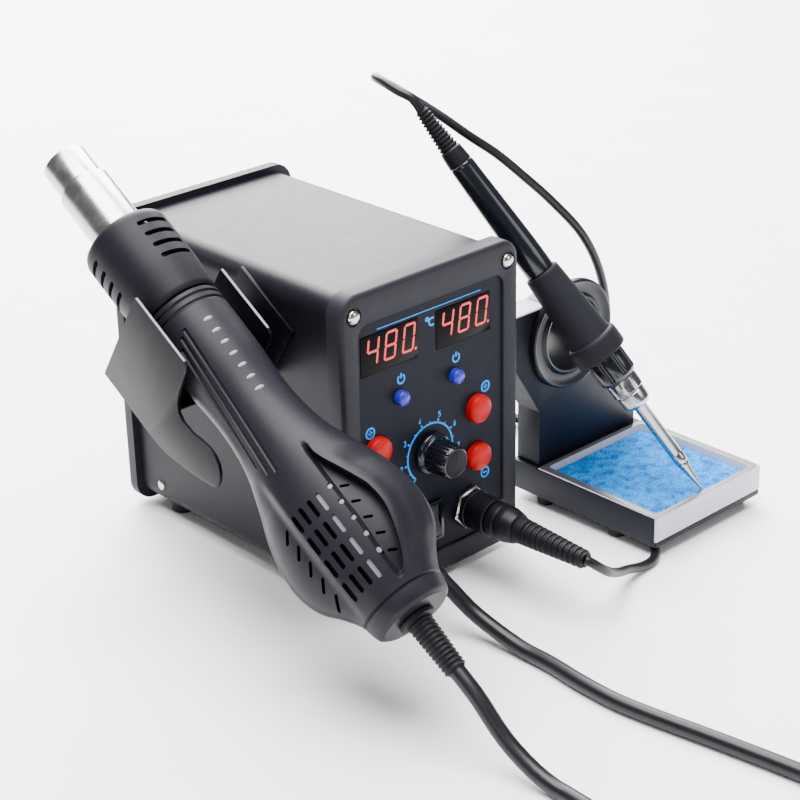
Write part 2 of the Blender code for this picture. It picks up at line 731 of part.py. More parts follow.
def cradle(bench):
    """Folded sheet-metal cradle on the side of the case, open upwards."""
    frame = empty("cradle_frame", cradle_frame(), bench)
    near, far = CRADLE_T
    sheet = WALL_SHEET
    top = 12.5
    outline = [(near, top), (128.0, top), (130.6, 10.6), (130.6, 8.0), (131.6, -4.0), (134.6, -12.0)]
    outline += [(140.0, -14.6), (147.0, -14.2), (158.0, -10.6), (166.5, -12.4), (170.4, -17.0)]
    outline += [(171.2, -22.5), (168.0, -26.0), (154.6, -32.8), (140.3, -38.4), (126.1, -40.2), (near, -40.2)]
    outer = prism(outline, -OUTER_WALL_X, -OUTER_WALL_X + sheet, "zy")
    made = add("gun_cradle", outer, "charcoal_paint", frame)
    floor_low = CRADLE_FLOOR_H - sheet
    case_side = UNIT_WIDTH / 2 - CASE_INSET + GAP
    floor = box((case_side, -OUTER_WALL_X + 0.4), (floor_low, CRADLE_FLOOR_H), (near, far))
    inner = prism(
        [(near, floor_low + 0.3), (near, top), (far - 3, top), (far, top - 3), (far, floor_low + 0.3)],
        -INNER_WALL_X - sheet,
        -INNER_WALL_X,
        "zy",
    )
    flange = box((case_side, case_side + sheet), (floor_low, 9), (near, far))
    weld(made, floor, inner, flange)


# ---------------------------------------------------------------- stand and iron


def stand_base(bench):
    made = add("stand_base", box(BASE_X, BASE_Y, BASE_Z), "charcoal_paint", bench)
    cut(made, box((BASE_X[0] + 2, BASE_X[1] - 2), (BASE_Y[0] - 1, TRAY_Y[1] + 0.6), (4.6, BASE_Z[1] + 1)))
    feet_places = [(96, 18), (96, -30), (163, 18), (163, -50)]
    for x, y in feet_places:
        stub = turned([(0, TABLE_Z), (4.4, TABLE_Z), (5, TABLE_Z + 1), (5, 3.5), (0, 3.5)], 12)
        weld(made, moved(stub, Matrix.Translation((x, y, 0))))


def sponge_tray(bench):
    low, high = BASE_X
    tub_x = (low + 2 + GAP, high - 2 - GAP)
    tub = box(tub_x, (TRAY_Y[0] + 0.2, TRAY_Y[1]), (4.6 + GAP, TRAY_RIM_Z))
    made = add("sponge_tray", tub, "silver_paint", bench)
    rim = box((low, high), (TRAY_Y[0], TRAY_Y[1] + 0.3), (BASE_Z[1] + GAP, TRAY_RIM_Z))
    face = box((low, high), (TRAY_Y[0], BASE_Y[0] - GAP), (BASE_Z[0] + 0.5, TRAY_RIM_Z))
    weld(made, rim, face)
    hollow = rounded(high - low - 8.5, TRAY_Y[1] - TRAY_Y[0] - 5.5, 2.5, ((low + high) / 2, sum(TRAY_Y) / 2 + 0.4), 2)
    cut(made, prism(hollow, 6.2, TRAY_RIM_Z + 1, "xy"))


def sponge(bench):
    low, high = BASE_X
    middle = ((low + high) / 2, sum(TRAY_Y) / 2 + 0.4)
    size = (high - low - 9.5, TRAY_Y[1] - TRAY_Y[0] - 6.5)
    rings = []
    for inset, z in ((0.6, 6.6), (0, 7.4), (0, 16.2), (1.0, 17.2)):
        outline = rounded(size[0] - 2 * inset, size[1] - 2 * inset, 2.4 - inset, middle, 2)
        rings.append([(x, y, z) for x, y in outline])
    add("cleaning_sponge", loft(rings), "sponge", bench)


def upright_outline():
    """Front view of the upright plate: a neck, a slanted left shoulder and a round head."""
    centre = FUNNEL_CENTRE
    foot = BASE_Z[1] + GAP
    outline = [(91.5, foot), (164.5, foot), (164.5, 26)]
    outline += arc(centre, 30.0, -14, 38, 8)
    outline += [(98.0, UPRIGHT_TOP), (70.0, UPRIGHT_TOP), (70.0, 84.0), (91.5, 48.6)]
    return outline


def stand_upright(bench):
    back = UPRIGHT_Y + UPRIGHT_SHEET
    made = add("stand_upright", prism(upright_outline(), UPRIGHT_Y, back), "charcoal_paint", bench)
    deep = UPRIGHT_Y + 15
    sheet = UPRIGHT_SHEET
    foot = BASE_Z[1] + GAP
    weld(
        made,
        box((70.0, 97.0), (UPRIGHT_Y + 0.4, deep), (UPRIGHT_TOP - sheet, UPRIGHT_TOP)),
        box((91.5, 91.5 + sheet), (UPRIGHT_Y + 0.4, deep), (foot, 48.0)),
        box((91.5, 164.5), (UPRIGHT_Y + 0.4, deep), (foot, foot + sheet)),
    )
    cut(made, prism(arc(FUNNEL_CENTRE, 20.0, 0, 345, 23), UPRIGHT_Y - 1, back + 1))


def holder_funnel(bench):
    x, z = FUNNEL_CENTRE
    face = -(UPRIGHT_Y - GAP)
    profile = [(19.6, face), (FUNNEL_RADIUS, face), (FUNNEL_RADIUS, face + 2.6), (FUNNEL_RADIUS - 1.2, face + 3.4)]
    profile += [(21.6, face + 2.2), (19.8, face + 3.4), (18.2, face + 2.6), (17.6, face - 2), (12.6, face - 24)]
    profile += [(14.4, face - 24), (19.4, face - 3)]
    add("holder_funnel", facing_front(turned(profile, 32)), "dark_plastic", bench, (x, 0, z))


def iron_frame():
    axis = Vector(IRON_AXIS).normalized()
    turn = axis.to_track_quat("Z", "X").to_matrix().to_4x4()
    return Matrix.Translation(IRON_TIP) @ turn


def soldering_iron(bench):
    iron = empty("iron_axis", iron_frame(), bench)
    tip = [(0, 0), (0.5, 0.4), (2.3, 13.5), (3.0, 16.2), (3.0, 17.2), (2.2, 17.2), (2.2, 52), (0, 52)]
    add("iron_tip", turned(tip, 16), "steel", iron)
    barrel = [(2.5, 17.5), (3.4, 17.5), (3.4, 56.5), (5.2, 56.5), (5.2, 58.0), (2.5, 58.0)]
    add("iron_barrel", turned(barrel, 16), "steel", iron)
    nut = [(3.7, 54.0), (6.0, 54.0), (7.2, 55.4), (7.2, 62.0), (8.0, 62.6), (8.0, 70.4), (5.6, 70.4)]
    nut += [(5.6, 56.2), (3.7, 56.2)]
    add("iron_nut", turned(nut, 18), "steel", iron)
    finned = [(0, 58.3), (5.2, 58.3), (5.2, 70.7), (8.8, 70.7), (10.0, 72.2), (10.0, 84.4), (0, 84.4)]
    nipple = add("iron_nipple", turned(finned, 24), "dark_plastic", iron)
    grooves = []
    for i in range(8):
        block = box((8.6, 12), (-1.0, 1.0), (73, 83.4))
        grooves.append(moved(block, Matrix.Rotation(TURN * i / 8, 4, "Z")))
    cut(nipple, *grooves)
    grip = [(6.4, 84.7), (12.6, 84.7), (13.3, 85.6), (13.3, 94.2), (12.8, 95.0), (11.2, 95.6), (9.0, 134.6)]
    grip += [(8.4, 136.0), (6.4, 136.0)]
    add("iron_grip", turned(grip, 24), "rubber", iron)
    handle = [(0, 84.7), (6.1, 84.7), (6.1, 136.3), (7.4, 136.3), (7.4, 150), (6.2, 199), (5.8, 201), (0, 201)]
    add("iron_handle", turned(handle, 20), "dark_plastic", iron)
    boot = [(0, 201.3), (6.0, 201.3), (5.4, 209.4), (4.9, 210)]
    boot += ribbed(210.6, IRON_BOOT_END, 4.9, 3.4, 9, 0.7)
    boot += [(0, IRON_BOOT_END)]
    add("iron_boot", turned(boot, 12), "rubber", iron)


# ---------------------------------------------------------------- cords


def cords(bench):
    gun_rest = GUN_CORD_REST_Z
    left, bottom = GUN_COIL_CENTRE
    tail = gun_frame() @ Vector((0, 0, TAIL_T + GUN_BOOT_LENGTH + GAP))
    ahead = gun_frame() @ Vector((0, 0, TAIL_T + GUN_BOOT_LENGTH + 14))
    route = [tail, ahead, (-89.5, -131.0, 13.0), (-88.5, -146.0, 4.5), (-87.5, -162.0, gun_rest)]
    route += [(-88.5, -190.0, gun_rest), (-90.5, -230.0, gun_rest), (left - GUN_COIL_RADIUS, bottom + 32, gun_rest)]
    cord("gun_cord_lead", route, GUN_CORD_RADIUS, 2)
    x, z = GLAND_CENTRE
    route = [(x, -24 - GAP, z), (x + 0.3, -28.0, z - 0.2), (-27.4, -37.0, 19.0), (-23.4, -50.0, 8.6)]
    route += [(-21.0, -74.0, gun_rest + 0.6), (-20.8, -92.0, gun_rest), (-22.6, -112.0, gun_rest)]
    route += [(-23.0, -132.0, gun_rest), (-20.6, -152.0, gun_rest), (-15.0, -184.0, gun_rest)]
    route += [(-10.0, -225.0, gun_rest), (left + GUN_COIL_RADIUS, bottom + 32, gun_rest)]
    cord("gun_cord_return", route, GUN_CORD_RADIUS, 2)
    coil("gun_cord_coil", GUN_COIL_CENTRE, GUN_COIL_RADIUS, GUN_CORD_RADIUS, 2, bench)

    rest = IRON_CORD_REST_Z
    middle, back = IRON_COIL_CENTRE
    x, z = SOCKET_CENTRE
    route = [(x, -PLUG_BOOT_END - GAP, z), (x + 0.4, -77.0, z - 0.2), (32.0, -78.5, 20.6), (47.0, -72.0, 11.0)]
    route += [(62.0, -66.0, 4.2), (75.0, -64.0, rest + 0.6), (84.0, -63.0, rest), (91.5, -58.5, rest)]
    route += [(99.0, -50.0, rest), (107.0, -36.0, rest), (110.0, -16.0, rest), (109.0, 6.0, rest)]
    route += [(105.0, 34.0, rest), (101.0, 62.0, rest), (middle - IRON_COIL_RADIUS, back - 21, rest)]
    cord("iron_cord_plug_lead", route, IRON_CORD_RADIUS, 2)
    iron = iron_frame()
    route = [iron @ Vector((0, 0, IRON_BOOT_END + GAP)), iron @ Vector((0, 0, IRON_BOOT_END + 7))]
    route += [(53.7, 77.3, 211.0), (52.7, 84.4, 213.4), (53.9, 91.8, 214.2), (57.3, 97.9, 213.4)]
    route += [(62.8, 100.0, 210.2), (68.6, 96.4, 205.8), (74.6, 88.8, 200.2), (82.0, 77.3, 192.2)]
    route += [(89.8, 66.0, 183.0), (99.6, 57.1, 173.6), (110.8, 49.5, 161.2), (124.0, 43.3, 146.8)]
    route += [(139.9, 37.0, 127.0), (151.6, 35.0, 105.4), (160.8, 37.2, 80.0), (165.2, 42.0, 52.0)]
    route += [(166.0, 43.6, 28.0), (165.2, 46.8, 10.0), (162.6, 52.5, 2.2), (158.0, 62.0, rest)]
    route += [(middle + IRON_COIL_RADIUS, back - 21, rest)]
    cord("iron_cord_rise", route, IRON_CORD_RADIUS, 2)
    coil("iron_cord_coil", IRON_COIL_CENTRE, IRON_COIL_RADIUS, IRON_CORD_RADIUS, 2, bench)


def centre_on_footprint(bench):
    """Moves everything so that the box of all but the cords stands centred on the origin."""
    bpy.context.view_layer.update()
    graph = bpy.context.evaluated_depsgraph_get()
    corners = []
    for obj in bpy.data.objects:
        if obj.type != "MESH" or obj.hide_render or obj.name in ON_CORDS:
            continue
        evaluated = obj.evaluated_get(graph)
        corners += [obj.matrix_world @ vertex.co for vertex in evaluated.to_mesh().vertices]
        evaluated.to_mesh_clear()
    low = [min(corner[axis] for corner in corners) for axis in range(3)]
    high = [max(corner[axis] for corner in corners) for axis in range(3)]
    bench.location = (-(low[0] + high[0]) / 2, -(low[1] + high[1]) / 2, -low[2])


def build():
    clear_scene()
    bench = empty(BENCH, Matrix.Identity(4))
    case_shell(bench)
    front_bezel(bench)
    front_screws(bench)
    front_panel(bench)
    rear_bezel(bench)
    feet(bench)
    displays(bench)
    boards(bench)
    transformer(bench)
    iec_inlet(bench)
    buttons(bench)
    airflow_control(bench)
    power_switch(bench)
    iron_socket(bench)
    iron_plug(bench)
    gun_cord_gland(bench)
    hot_air_gun(bench)
    cradle(bench)
    stand_base(bench)
    sponge_tray(bench)
    sponge(bench)
    stand_upright(bench)
    holder_funnel(bench)
    soldering_iron(bench)
    cords(bench)
    centre_on_footprint(bench)


build()
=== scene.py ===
"""The finished look of the two-in-one rework station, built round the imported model.

Shapes are written in millimetres on the same bench frame as the model: X to the right, Y to the back and
Z up, from the middle of the control unit's front face at the underside of its bezels. SHIFT takes them to
the model's own frame, in metres.
"""

import math

import bmesh
import bpy
from mathutils import Matrix, Vector, noise


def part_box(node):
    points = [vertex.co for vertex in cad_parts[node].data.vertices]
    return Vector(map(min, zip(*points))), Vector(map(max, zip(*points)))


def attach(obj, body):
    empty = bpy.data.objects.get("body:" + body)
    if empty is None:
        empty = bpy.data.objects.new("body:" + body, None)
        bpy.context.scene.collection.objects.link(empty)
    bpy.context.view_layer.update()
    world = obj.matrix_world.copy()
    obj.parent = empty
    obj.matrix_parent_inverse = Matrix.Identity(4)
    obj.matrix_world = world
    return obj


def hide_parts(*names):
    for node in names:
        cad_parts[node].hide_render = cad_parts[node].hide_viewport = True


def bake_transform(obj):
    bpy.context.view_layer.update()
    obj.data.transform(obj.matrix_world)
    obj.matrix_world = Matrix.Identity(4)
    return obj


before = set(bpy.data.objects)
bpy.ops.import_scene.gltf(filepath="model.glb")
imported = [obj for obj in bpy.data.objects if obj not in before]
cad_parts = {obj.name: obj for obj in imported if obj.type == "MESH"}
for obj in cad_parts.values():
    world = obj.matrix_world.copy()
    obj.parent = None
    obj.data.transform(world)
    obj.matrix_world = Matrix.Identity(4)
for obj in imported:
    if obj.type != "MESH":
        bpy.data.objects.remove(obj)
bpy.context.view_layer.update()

MM = 0.001
LOW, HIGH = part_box("front_bezel")
SHIFT = Vector(((LOW.x + HIGH.x) / 2, LOW.y, LOW.z))
WIDTH = (HIGH.x - LOW.x) / MM
HEIGHT = (HIGH.z - LOW.z) / MM
DEPTH = (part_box("rear_bezel")[1].y - LOW.y) / MM
TABLE = -SHIFT.z / MM
MIDDLE = HEIGHT / 2
CORNER = 10.0
CASE_INSET = 3.4
PANEL = ((-45.5, 12.5), (45.5, 141.5))
PANEL_Y = 1.5

GUN_MOUTH = Vector((-90.0, 149.4, 194.0))
GUN_PITCH = math.radians(32.3)
GUN_ROLL = math.radians(41.0)
TAIL = 272.0
GUN_BOOT = 28.5

IRON_TIP = Vector((129.4, -55.8, 18.2))
IRON_AXIS = Vector((-0.3059, 0.5272, 0.7928)).normalized()
IRON_BOOT_END = 233.2

GUN_CORD = 3.75
IRON_CORD = 2.3
SCREWS = {
    "front_screw_top_left": (-48.0, 147.2),
    "front_screw_top_right": (48.0, 147.2),
    "front_screw_bottom_left": (-48.0, 9.8),
    "front_screw_bottom_right": (48.0, 9.8),
}
DISPLAYS = {"display_left": (-26.0, 125.8), "display_right": (20.3, 125.2)}
DISPLAY_SIZE = (35.0, 19.2)
REDS = {
    "red_button_left_plus": (-35.5, 78.2),
    "red_button_left_minus": (-35.5, 53.2),
    "red_button_right_plus": (28.6, 78.2),
    "red_button_right_minus": (28.6, 53.2),
}
BLUES = {"blue_button_left": (-20.3, 99.8), "blue_button_right": (14.5, 99.4)}
KNOB = (-1.8, 65.6)
SWITCH = (-2.6, 29.3)
SWITCH_SIZE = (15.0, 21.0)
SOCKET = (22.4, 28.4)
GLAND = (-30.0, 26.0)
X_AXIS = Vector((1, 0, 0))


# ---------------------------------------------------------------- places and frames


def row(point):
    """A bench point in millimetres, as a point of the model's frame in metres."""
    return Vector(point) * MM + SHIFT


GUN_ALONG = Vector((0, -math.cos(GUN_PITCH), -math.sin(GUN_PITCH)))
GUN_UP = Vector((0, -math.sin(GUN_PITCH), math.cos(GUN_PITCH)))


def gun_frame():
    """X across the gun's face, Y out of its face, Z from the nozzle's mouth to the tail."""
    face = GUN_UP * math.cos(GUN_ROLL) - X_AXIS * math.sin(GUN_ROLL)
    across = X_AXIS * math.cos(GUN_ROLL) + GUN_UP * math.sin(GUN_ROLL)
    return Matrix.Translation(GUN_MOUTH) @ Matrix((across, face, GUN_ALONG)).transposed().to_4x4()


def cradle_frame():
    """X to the left of the bench, Y up from the gun's axis, Z from the nozzle's mouth to the tail."""
    place = Vector((0, GUN_MOUTH.y, GUN_MOUTH.z))
    return Matrix.Translation(place) @ Matrix((-X_AXIS, GUN_UP, GUN_ALONG)).transposed().to_4x4()


def iron_frame():
    return Matrix.Translation(IRON_TIP) @ IRON_AXIS.to_track_quat("Z", "X").to_matrix().to_4x4()


GUN = gun_frame()
CRADLE = cradle_frame()
IRON = iron_frame()


def front(x=0.0, z=0.0, y=0.0):
    """A frame on the front panel whose Z axis points out of it, towards the viewer."""
    return Matrix.Translation((x, y, z)) @ Matrix.Rotation(math.pi / 2, 4, "X")


# ---------------------------------------------------------------- shapes, in millimetres


def box(x, y, z):
    shape = bmesh.new()
    bmesh.ops.create_cube(shape, size=1)
    for vertex in shape.verts:
        for axis, (low, high) in enumerate((x, y, z)):
            vertex.co[axis] = (low + high) / 2 + vertex.co[axis] * (high - low)
    return shape


def loft(rings, closed=False):
    """Skins rings that have the same number of points, with caps unless it closes on itself."""
    shape = bmesh.new()
    made = [[shape.verts.new(point) for point in ring] for ring in rings]
    count = len(made[0])
    pairs = list(zip(made, made[1:]))
    if closed:
        pairs.append((made[-1], made[0]))
    for ring, following in pairs:
        for i in range(count):
            j = (i + 1) % count
            shape.faces.new((ring[i], ring[j], following[j], following[i]))
    if not closed:
        shape.faces.new(reversed(made[0]))
        shape.faces.new(made[-1])
    return shape


def prism(outline, low, high, plane="xz"):
    """Extrudes an outline along the axis that its plane leaves out."""
    first, second = ("xyz".index(letter) for letter in plane)
    third = 3 - first - second
    rings = []
    for level in (low, high):
        ring = []
        for a, b in outline:
            point = [0.0, 0.0, 0.0]
            point[first], point[second], point[third] = a, b, level
            ring.append(point)
        rings.append(ring)
    return loft(rings)


def arc(centre, radius, start, end, steps):
    points = []
    for i in range(steps + 1):
        angle = math.radians(start + (end - start) * i / steps)
        points.append((centre[0] + radius * math.cos(angle), centre[1] + radius * math.sin(angle)))
    return points


def circle(centre, radius, steps=32):
    return arc(centre, radius, 0, 360 - 360 / steps, steps - 1)


def rounded(width, height, radius, centre=(0, 0), steps=8):
    outline = []
    for side, level, start in ((1, 1, 0), (-1, 1, 90), (-1, -1, 180), (1, -1, 270)):
        middle = (centre[0] + side * (width / 2 - radius), centre[1] + level * (height / 2 - radius))
        outline += arc(middle, radius, start, start + 90, steps)
    return outline


def turned(profile, steps=48, start=0.0):
    """Turns (radius, height) points about Z. A profile that leaves the axis alone closes on itself."""
    solid = profile[0][0] == 0 and profile[-1][0] == 0
    shape = bmesh.new()
    rings = []
    for radius, height in profile:
        if radius == 0:
            rings.append([shape.verts.new((0, 0, height))])
            continue
        ring = []
        for i in range(steps):
            angle = start + 2 * math.pi * i / steps
            ring.append(shape.verts.new((radius * math.cos(angle), radius * math.sin(angle), height)))
        rings.append(ring)
    pairs = list(zip(rings, rings[1:]))
    if not solid:
        pairs.append((rings[-1], rings[0]))
    for lower, upper in pairs:
        for i in range(steps):
            j = (i + 1) % steps
            corners = [lower[i % len(lower)], lower[j % len(lower)]]
            corners += [upper[j % len(upper)], upper[i % len(upper)]]
            shape.faces.new(list(dict.fromkeys(corners)))
    return shape


def softened(profile, radius, steps=3):
    """A turned profile with its outer and inner corners rounded."""
    points = [profile[0]]
    for before, corner, after in zip(profile, profile[1:], profile[2:]):
        corner, before, after = Vector(corner), Vector(before), Vector(after)
        back, ahead = before - corner, after - corner
        reach = min(radius, back.length * 0.45, ahead.length * 0.45)
        start, end = corner + back.normalized() * reach, corner + ahead.normalized() * reach
        for i in range(steps + 1):
            u = i / steps
            point = start * (1 - u) ** 2 + corner * 2 * u * (1 - u) + end * u**2
            points.append(tuple(point))
    points.append(profile[-1])
    return points


def moved(shape, matrix):
    bmesh.ops.transform(shape, matrix=matrix, verts=shape.verts)
    return shape


def merged(shapes):
    """One bmesh that holds several closed shapes."""
    whole = bmesh.new()
    for shape in shapes:
        bmesh.ops.recalc_face_normals(shape, faces=shape.faces)
        mesh = bpy.data.meshes.new("merged")
        shape.to_mesh(mesh)
        shape.free()
        whole.from_mesh(mesh)
        bpy.data.meshes.remove(mesh)
    return whole


def bevelled(shape, width, segments=2, angle=40):
    """Rounds the edges where two faces meet at more than an angle."""
    bmesh.ops.recalc_face_normals(shape, faces=shape.faces)
    edges = [e for e in shape.edges if e.is_manifold and e.calc_face_angle(0) > math.radians(angle)]
    options = {"segments": segments, "profile": 0.5, "affect": "EDGES", "clamp_overlap": True}
    bmesh.ops.bevel(shape, geom=edges, offset=width, **options)
    return shape


def boolean(shape, tool, operation="DIFFERENCE"):
    """The first shape with the second cut out of it or joined to it."""
    helpers = []
    for part in (shape, tool):
        bmesh.ops.recalc_face_normals(part, faces=part.faces)
        mesh = bpy.data.meshes.new("boolean")
        part.to_mesh(mesh)
        part.free()
        helper = bpy.data.objects.new("boolean", mesh)
        bpy.context.scene.collection.objects.link(helper)
        helpers.append(helper)
    modifier = helpers[0].modifiers.new("boolean", "BOOLEAN")
    modifier.object = helpers[1]
    modifier.operation = operation
    graph = bpy.context.evaluated_depsgraph_get()
    result = bmesh.new()
    result.from_mesh(helpers[0].evaluated_get(graph).to_mesh())
    for helper in helpers:
        mesh = helper.data
        bpy.data.objects.remove(helper)
        bpy.data.meshes.remove(mesh)
    return result


def cut(shape, *tools):
    return boolean(shape, merged(tools))


def smooth_route(points, spacing):
    """Even points on a smooth curve through a route's own points."""
    route = [Vector(point) for point in points]
    ends = [2 * route[0] - route[1]] + route + [2 * route[-1] - route[-2]]
    dense = []
    for before, start, end, after in zip(ends, ends[1:], ends[2:], ends[3:]):
        for i in range(16):
            u = i / 16
            curve = 2 * start + (end - before) * u
            curve += (2 * before - 5 * start + 4 * end - after) * u**2
            curve += (3 * start - before - 3 * end + after) * u**3
            dense.append(curve * 0.5)
    dense.append(route[-1])
    lengths = [0.0]
    for a, b in zip(dense, dense[1:]):
        lengths.append(lengths[-1] + (b - a).length)
    count = max(2, round(lengths[-1] / spacing))
    even = []
    k = 0
    for i in range(count + 1):
        wanted = lengths[-1] * i / count
        while k < len(lengths) - 2 and lengths[k + 1] < wanted:
            k += 1
        share = (wanted - lengths[k]) / (lengths[k + 1] - lengths[k])
        even.append(dense[k].lerp(dense[k + 1], share))
    return even


def tube(points, radius, sides=18):
    """A round tube along a path, with flat ends. Its rings keep their turn from one to the next."""
    rings = []
    side = None
    for i, point in enumerate(points):
        ahead = points[min(i + 1, len(points) - 1)] - points[max(i - 1, 0)]
        ahead.normalize()
        if side is None:
            side = ahead.orthogonal()
        side = (side - ahead * side.dot(ahead)).normalized()
        other = ahead.cross(side)
        ring = []
        for k in range(sides):
            angle = 2 * math.pi * k / sides
            ring.append(point + side * radius * math.cos(angle) + other * radius * math.sin(angle))
        rings.append(ring)
    return loft(rings)


# ---------------------------------------------------------------- materials


class Finish:
    """A Principled material whose colour, gloss and relief come from procedural nodes."""

    def __init__(self, name, slot=None, metallic=0.0, coat=0.0, shine=0.5):
        self.material = bpy.data.materials.new(name + "_finish")
        self.material["slot"] = slot or name
        self.material.use_nodes = True
        self.nodes = self.material.node_tree.nodes
        self.links = self.material.node_tree.links
        self.shader = self.nodes["Principled BSDF"]
        self.shader.inputs["Metallic"].default_value = metallic
        self.shader.inputs["Coat Weight"].default_value = coat
        self.shader.inputs["Coat Roughness"].default_value = 0.15
        self.shader.inputs["Specular IOR Level"].default_value = shine
        self.coordinates = self.nodes.new("ShaderNodeTexCoord").outputs["Object"]
        self.relief = None

    def noise(self, size, detail=3.0, stretch=(1, 1, 1)):
        """Noise whose features are about this many millimetres across, drawn out along some axes."""
        mapping = self.nodes.new("ShaderNodeMapping")
        mapping.inputs["Scale"].default_value = [1 / (size * MM * s) for s in stretch]
        self.links.new(self.coordinates, mapping.inputs["Vector"])
        texture = self.nodes.new("ShaderNodeTexNoise")
        texture.inputs["Scale"].default_value = 1.0
        texture.inputs["Detail"].default_value = detail
        self.links.new(mapping.outputs["Vector"], texture.inputs["Vector"])
        return texture.outputs["Fac"]

    def cells(self, size, feature="F1"):
        texture = self.nodes.new("ShaderNodeTexVoronoi")
        texture.feature = feature
        texture.inputs["Scale"].default_value = 1 / (size * MM)
        self.links.new(self.coordinates, texture.inputs["Vector"])
        return texture.outputs["Distance"]

    def ramp(self, value, *stops):
        """Turns a value into a colour, by (position, colour) stops."""
        node = self.nodes.new("ShaderNodeValToRGB")
        self.links.new(value, node.inputs["Fac"])
        elements = node.color_ramp.elements
        while len(elements) < len(stops):
            elements.new(0.5)
        for element, (position, colour) in zip(elements, stops):
            element.position = position
            element.color = (*colour, 1.0)
        return node.outputs["Color"]

    def spread(self, value, low, high, start=0.3, end=0.7):
        """Turns a value that runs from start to end into one that runs from low to high."""
        node = self.nodes.new("ShaderNodeMapRange")
        node.inputs["From Min"].default_value = start
        node.inputs["From Max"].default_value = end
        node.inputs["To Min"].default_value = low
        node.inputs["To Max"].default_value = high
        self.links.new(value, node.inputs["Value"])
        return node.outputs["Result"]

    def colour(self, value):
        self.links.new(value, self.shader.inputs["Base Color"])
        return self

    def roughness(self, value):
        self.links.new(value, self.shader.inputs["Roughness"])
        return self

    def bump(self, value, height, strength=1.0):
        """Adds relief of this height in millimetres to what is there already."""
        node = self.nodes.new("ShaderNodeBump")
        node.inputs["Strength"].default_value = strength
        node.inputs["Distance"].default_value = height * MM
        self.links.new(value, node.inputs["Height"])
        if self.relief:
            self.links.new(self.relief, node.inputs["Normal"])
        self.relief = node.outputs["Normal"]
        self.links.new(self.relief, self.shader.inputs["Normal"])
        return self


def tones(colour, share):
    """A darker and a lighter tone of a colour."""
    return [tuple(min(1.0, c * scale) for c in colour) for scale in (1 - share, 1 + share)]


def coated(name, colour, gloss, grain=0.5, relief=0.03, share=0.12, slot=None, **extra):
    """Powder coat, moulded plastic or rubber: a fine grain and a slow change of tone and gloss."""
    finish = Finish(name, slot, **extra)
    dark, light = tones(colour, share)
    finish.colour(finish.ramp(finish.noise(14, 4), (0.3, dark), (0.7, light)))
    finish.roughness(finish.spread(finish.noise(9, 3), gloss - 0.015, gloss + 0.02))
    finish.bump(finish.noise(grain, 2), relief)
    finish.bump(finish.noise(30, 2), 0.006, 0.4)
    return finish.material


def brushed(name, colour, gloss, stretch=(30, 30, 1), size=0.12, relief=0.006):
    """Metal with fine lines, drawn out along the axes that have a large stretch."""
    finish = Finish(name, metallic=1.0)
    lines = finish.noise(size, 2, stretch)
    dark, light = tones(colour, 0.07)
    finish.colour(finish.ramp(lines, (0.3, dark), (0.7, light)))
    finish.roughness(finish.spread(finish.noise(6, 3), gloss - 0.04, gloss + 0.06))
    finish.bump(lines, relief)
    return finish.material


def glowing(name, colour, strength, slot):
    finish = Finish(name, slot)
    dark, light = tones(colour, 0.1)
    tint = finish.ramp(finish.noise(1.5, 2), (0.3, dark), (0.7, light))
    finish.colour(tint)
    finish.links.new(tint, finish.shader.inputs["Emission Color"])
    finish.shader.inputs["Emission Strength"].default_value = strength
    finish.roughness(finish.spread(finish.noise(3, 2), 0.3, 0.4))
    return finish.material


def sponge_finish():
    """Cellulose: open pores of two sizes on a mottled blue, with painted shade darkening the pores' insides."""
    finish = Finish("sponge_cellulose", shine=0.1)
    small, large = finish.cells(1.1), finish.cells(3.4)
    mottle = finish.noise(5, 5)
    # Painted shade: the small pores are darkened inside, multiplied by a random mottle of tone.
    pores = finish.nodes.new("ShaderNodeMath")
    pores.operation = "MULTIPLY"
    finish.links.new(finish.spread(small, 0.15, 1, 0.05, 0.5), pores.inputs[0])
    finish.links.new(finish.spread(mottle, 0.35, 1, 0.33, 0.62), pores.inputs[1])
    stops = ((0.1, (0.0, 0.025, 0.12)), (0.45, (0.0, 0.12, 0.42)), (0.95, (0.0, 0.22, 0.62)))
    finish.colour(finish.ramp(pores.outputs[0], *stops))
    finish.roughness(finish.spread(mottle, 0.85, 0.98))
    finish.bump(small, 0.7).bump(large, 0.8, 0.6).bump(mottle, 0.8, 0.8)
    return finish.material


def board_finish():
    finish = Finish("circuit_board")
    tracks = finish.cells(6, "DISTANCE_TO_EDGE")
    finish.colour(finish.ramp(tracks, (0.04, (0.02, 0.26, 0.12)), (0.08, (0.01, 0.13, 0.06))))
    finish.roughness(finish.spread(finish.noise(4, 2), 0.35, 0.5))
    finish.bump(tracks, 0.04)
    return finish.material


CASE = coated("case_paint", (0.005, 0.0048, 0.008), 0.42, 0.45, 0.02, 0.06, shine=0.12)
BEZEL = coated("bezel_paint", (0.013, 0.0125, 0.018), 0.50, 0.5, 0.03, 0.08, shine=0.14)
PANEL_PAINT = coated("panel_paint", (0.0045, 0.0055, 0.011), 0.52, 0.35, 0.015, 0.08, shine=0.1)
PRINT = coated("cyan_print", (0.0, 0.26, 0.80), 0.5, 0.2, 0.005, 0.06, "panel_paint", shine=0.1)
WINDOW = coated("display_window", (0.002, 0.0003, 0.0006), 0.14, 6, 0.004, 0.10, shine=0.04)
SEGMENT = glowing("lit_segment", (0.60, 0.0, 0.0), 0.6, "display_window")
RED = coated("red_button_rubber", (0.40, 0.0, 0.001), 0.38, 0.6, 0.01, 0.05, shine=0.15)
BLUE = coated("blue_button_rubber", (0.022, 0.022, 0.38), 0.28, 0.6, 0.01, 0.06, coat=0.2, shine=0.3)
PLASTIC = coated("black_plastic", (0.004, 0.004, 0.006), 0.38, 0.4, 0.02, 0.15, shine=0.2)
GLOSS = coated("gloss_plastic", (0.004, 0.0045, 0.008), 0.20, 5, 0.004, 0.15, coat=0.2, shine=0.4)
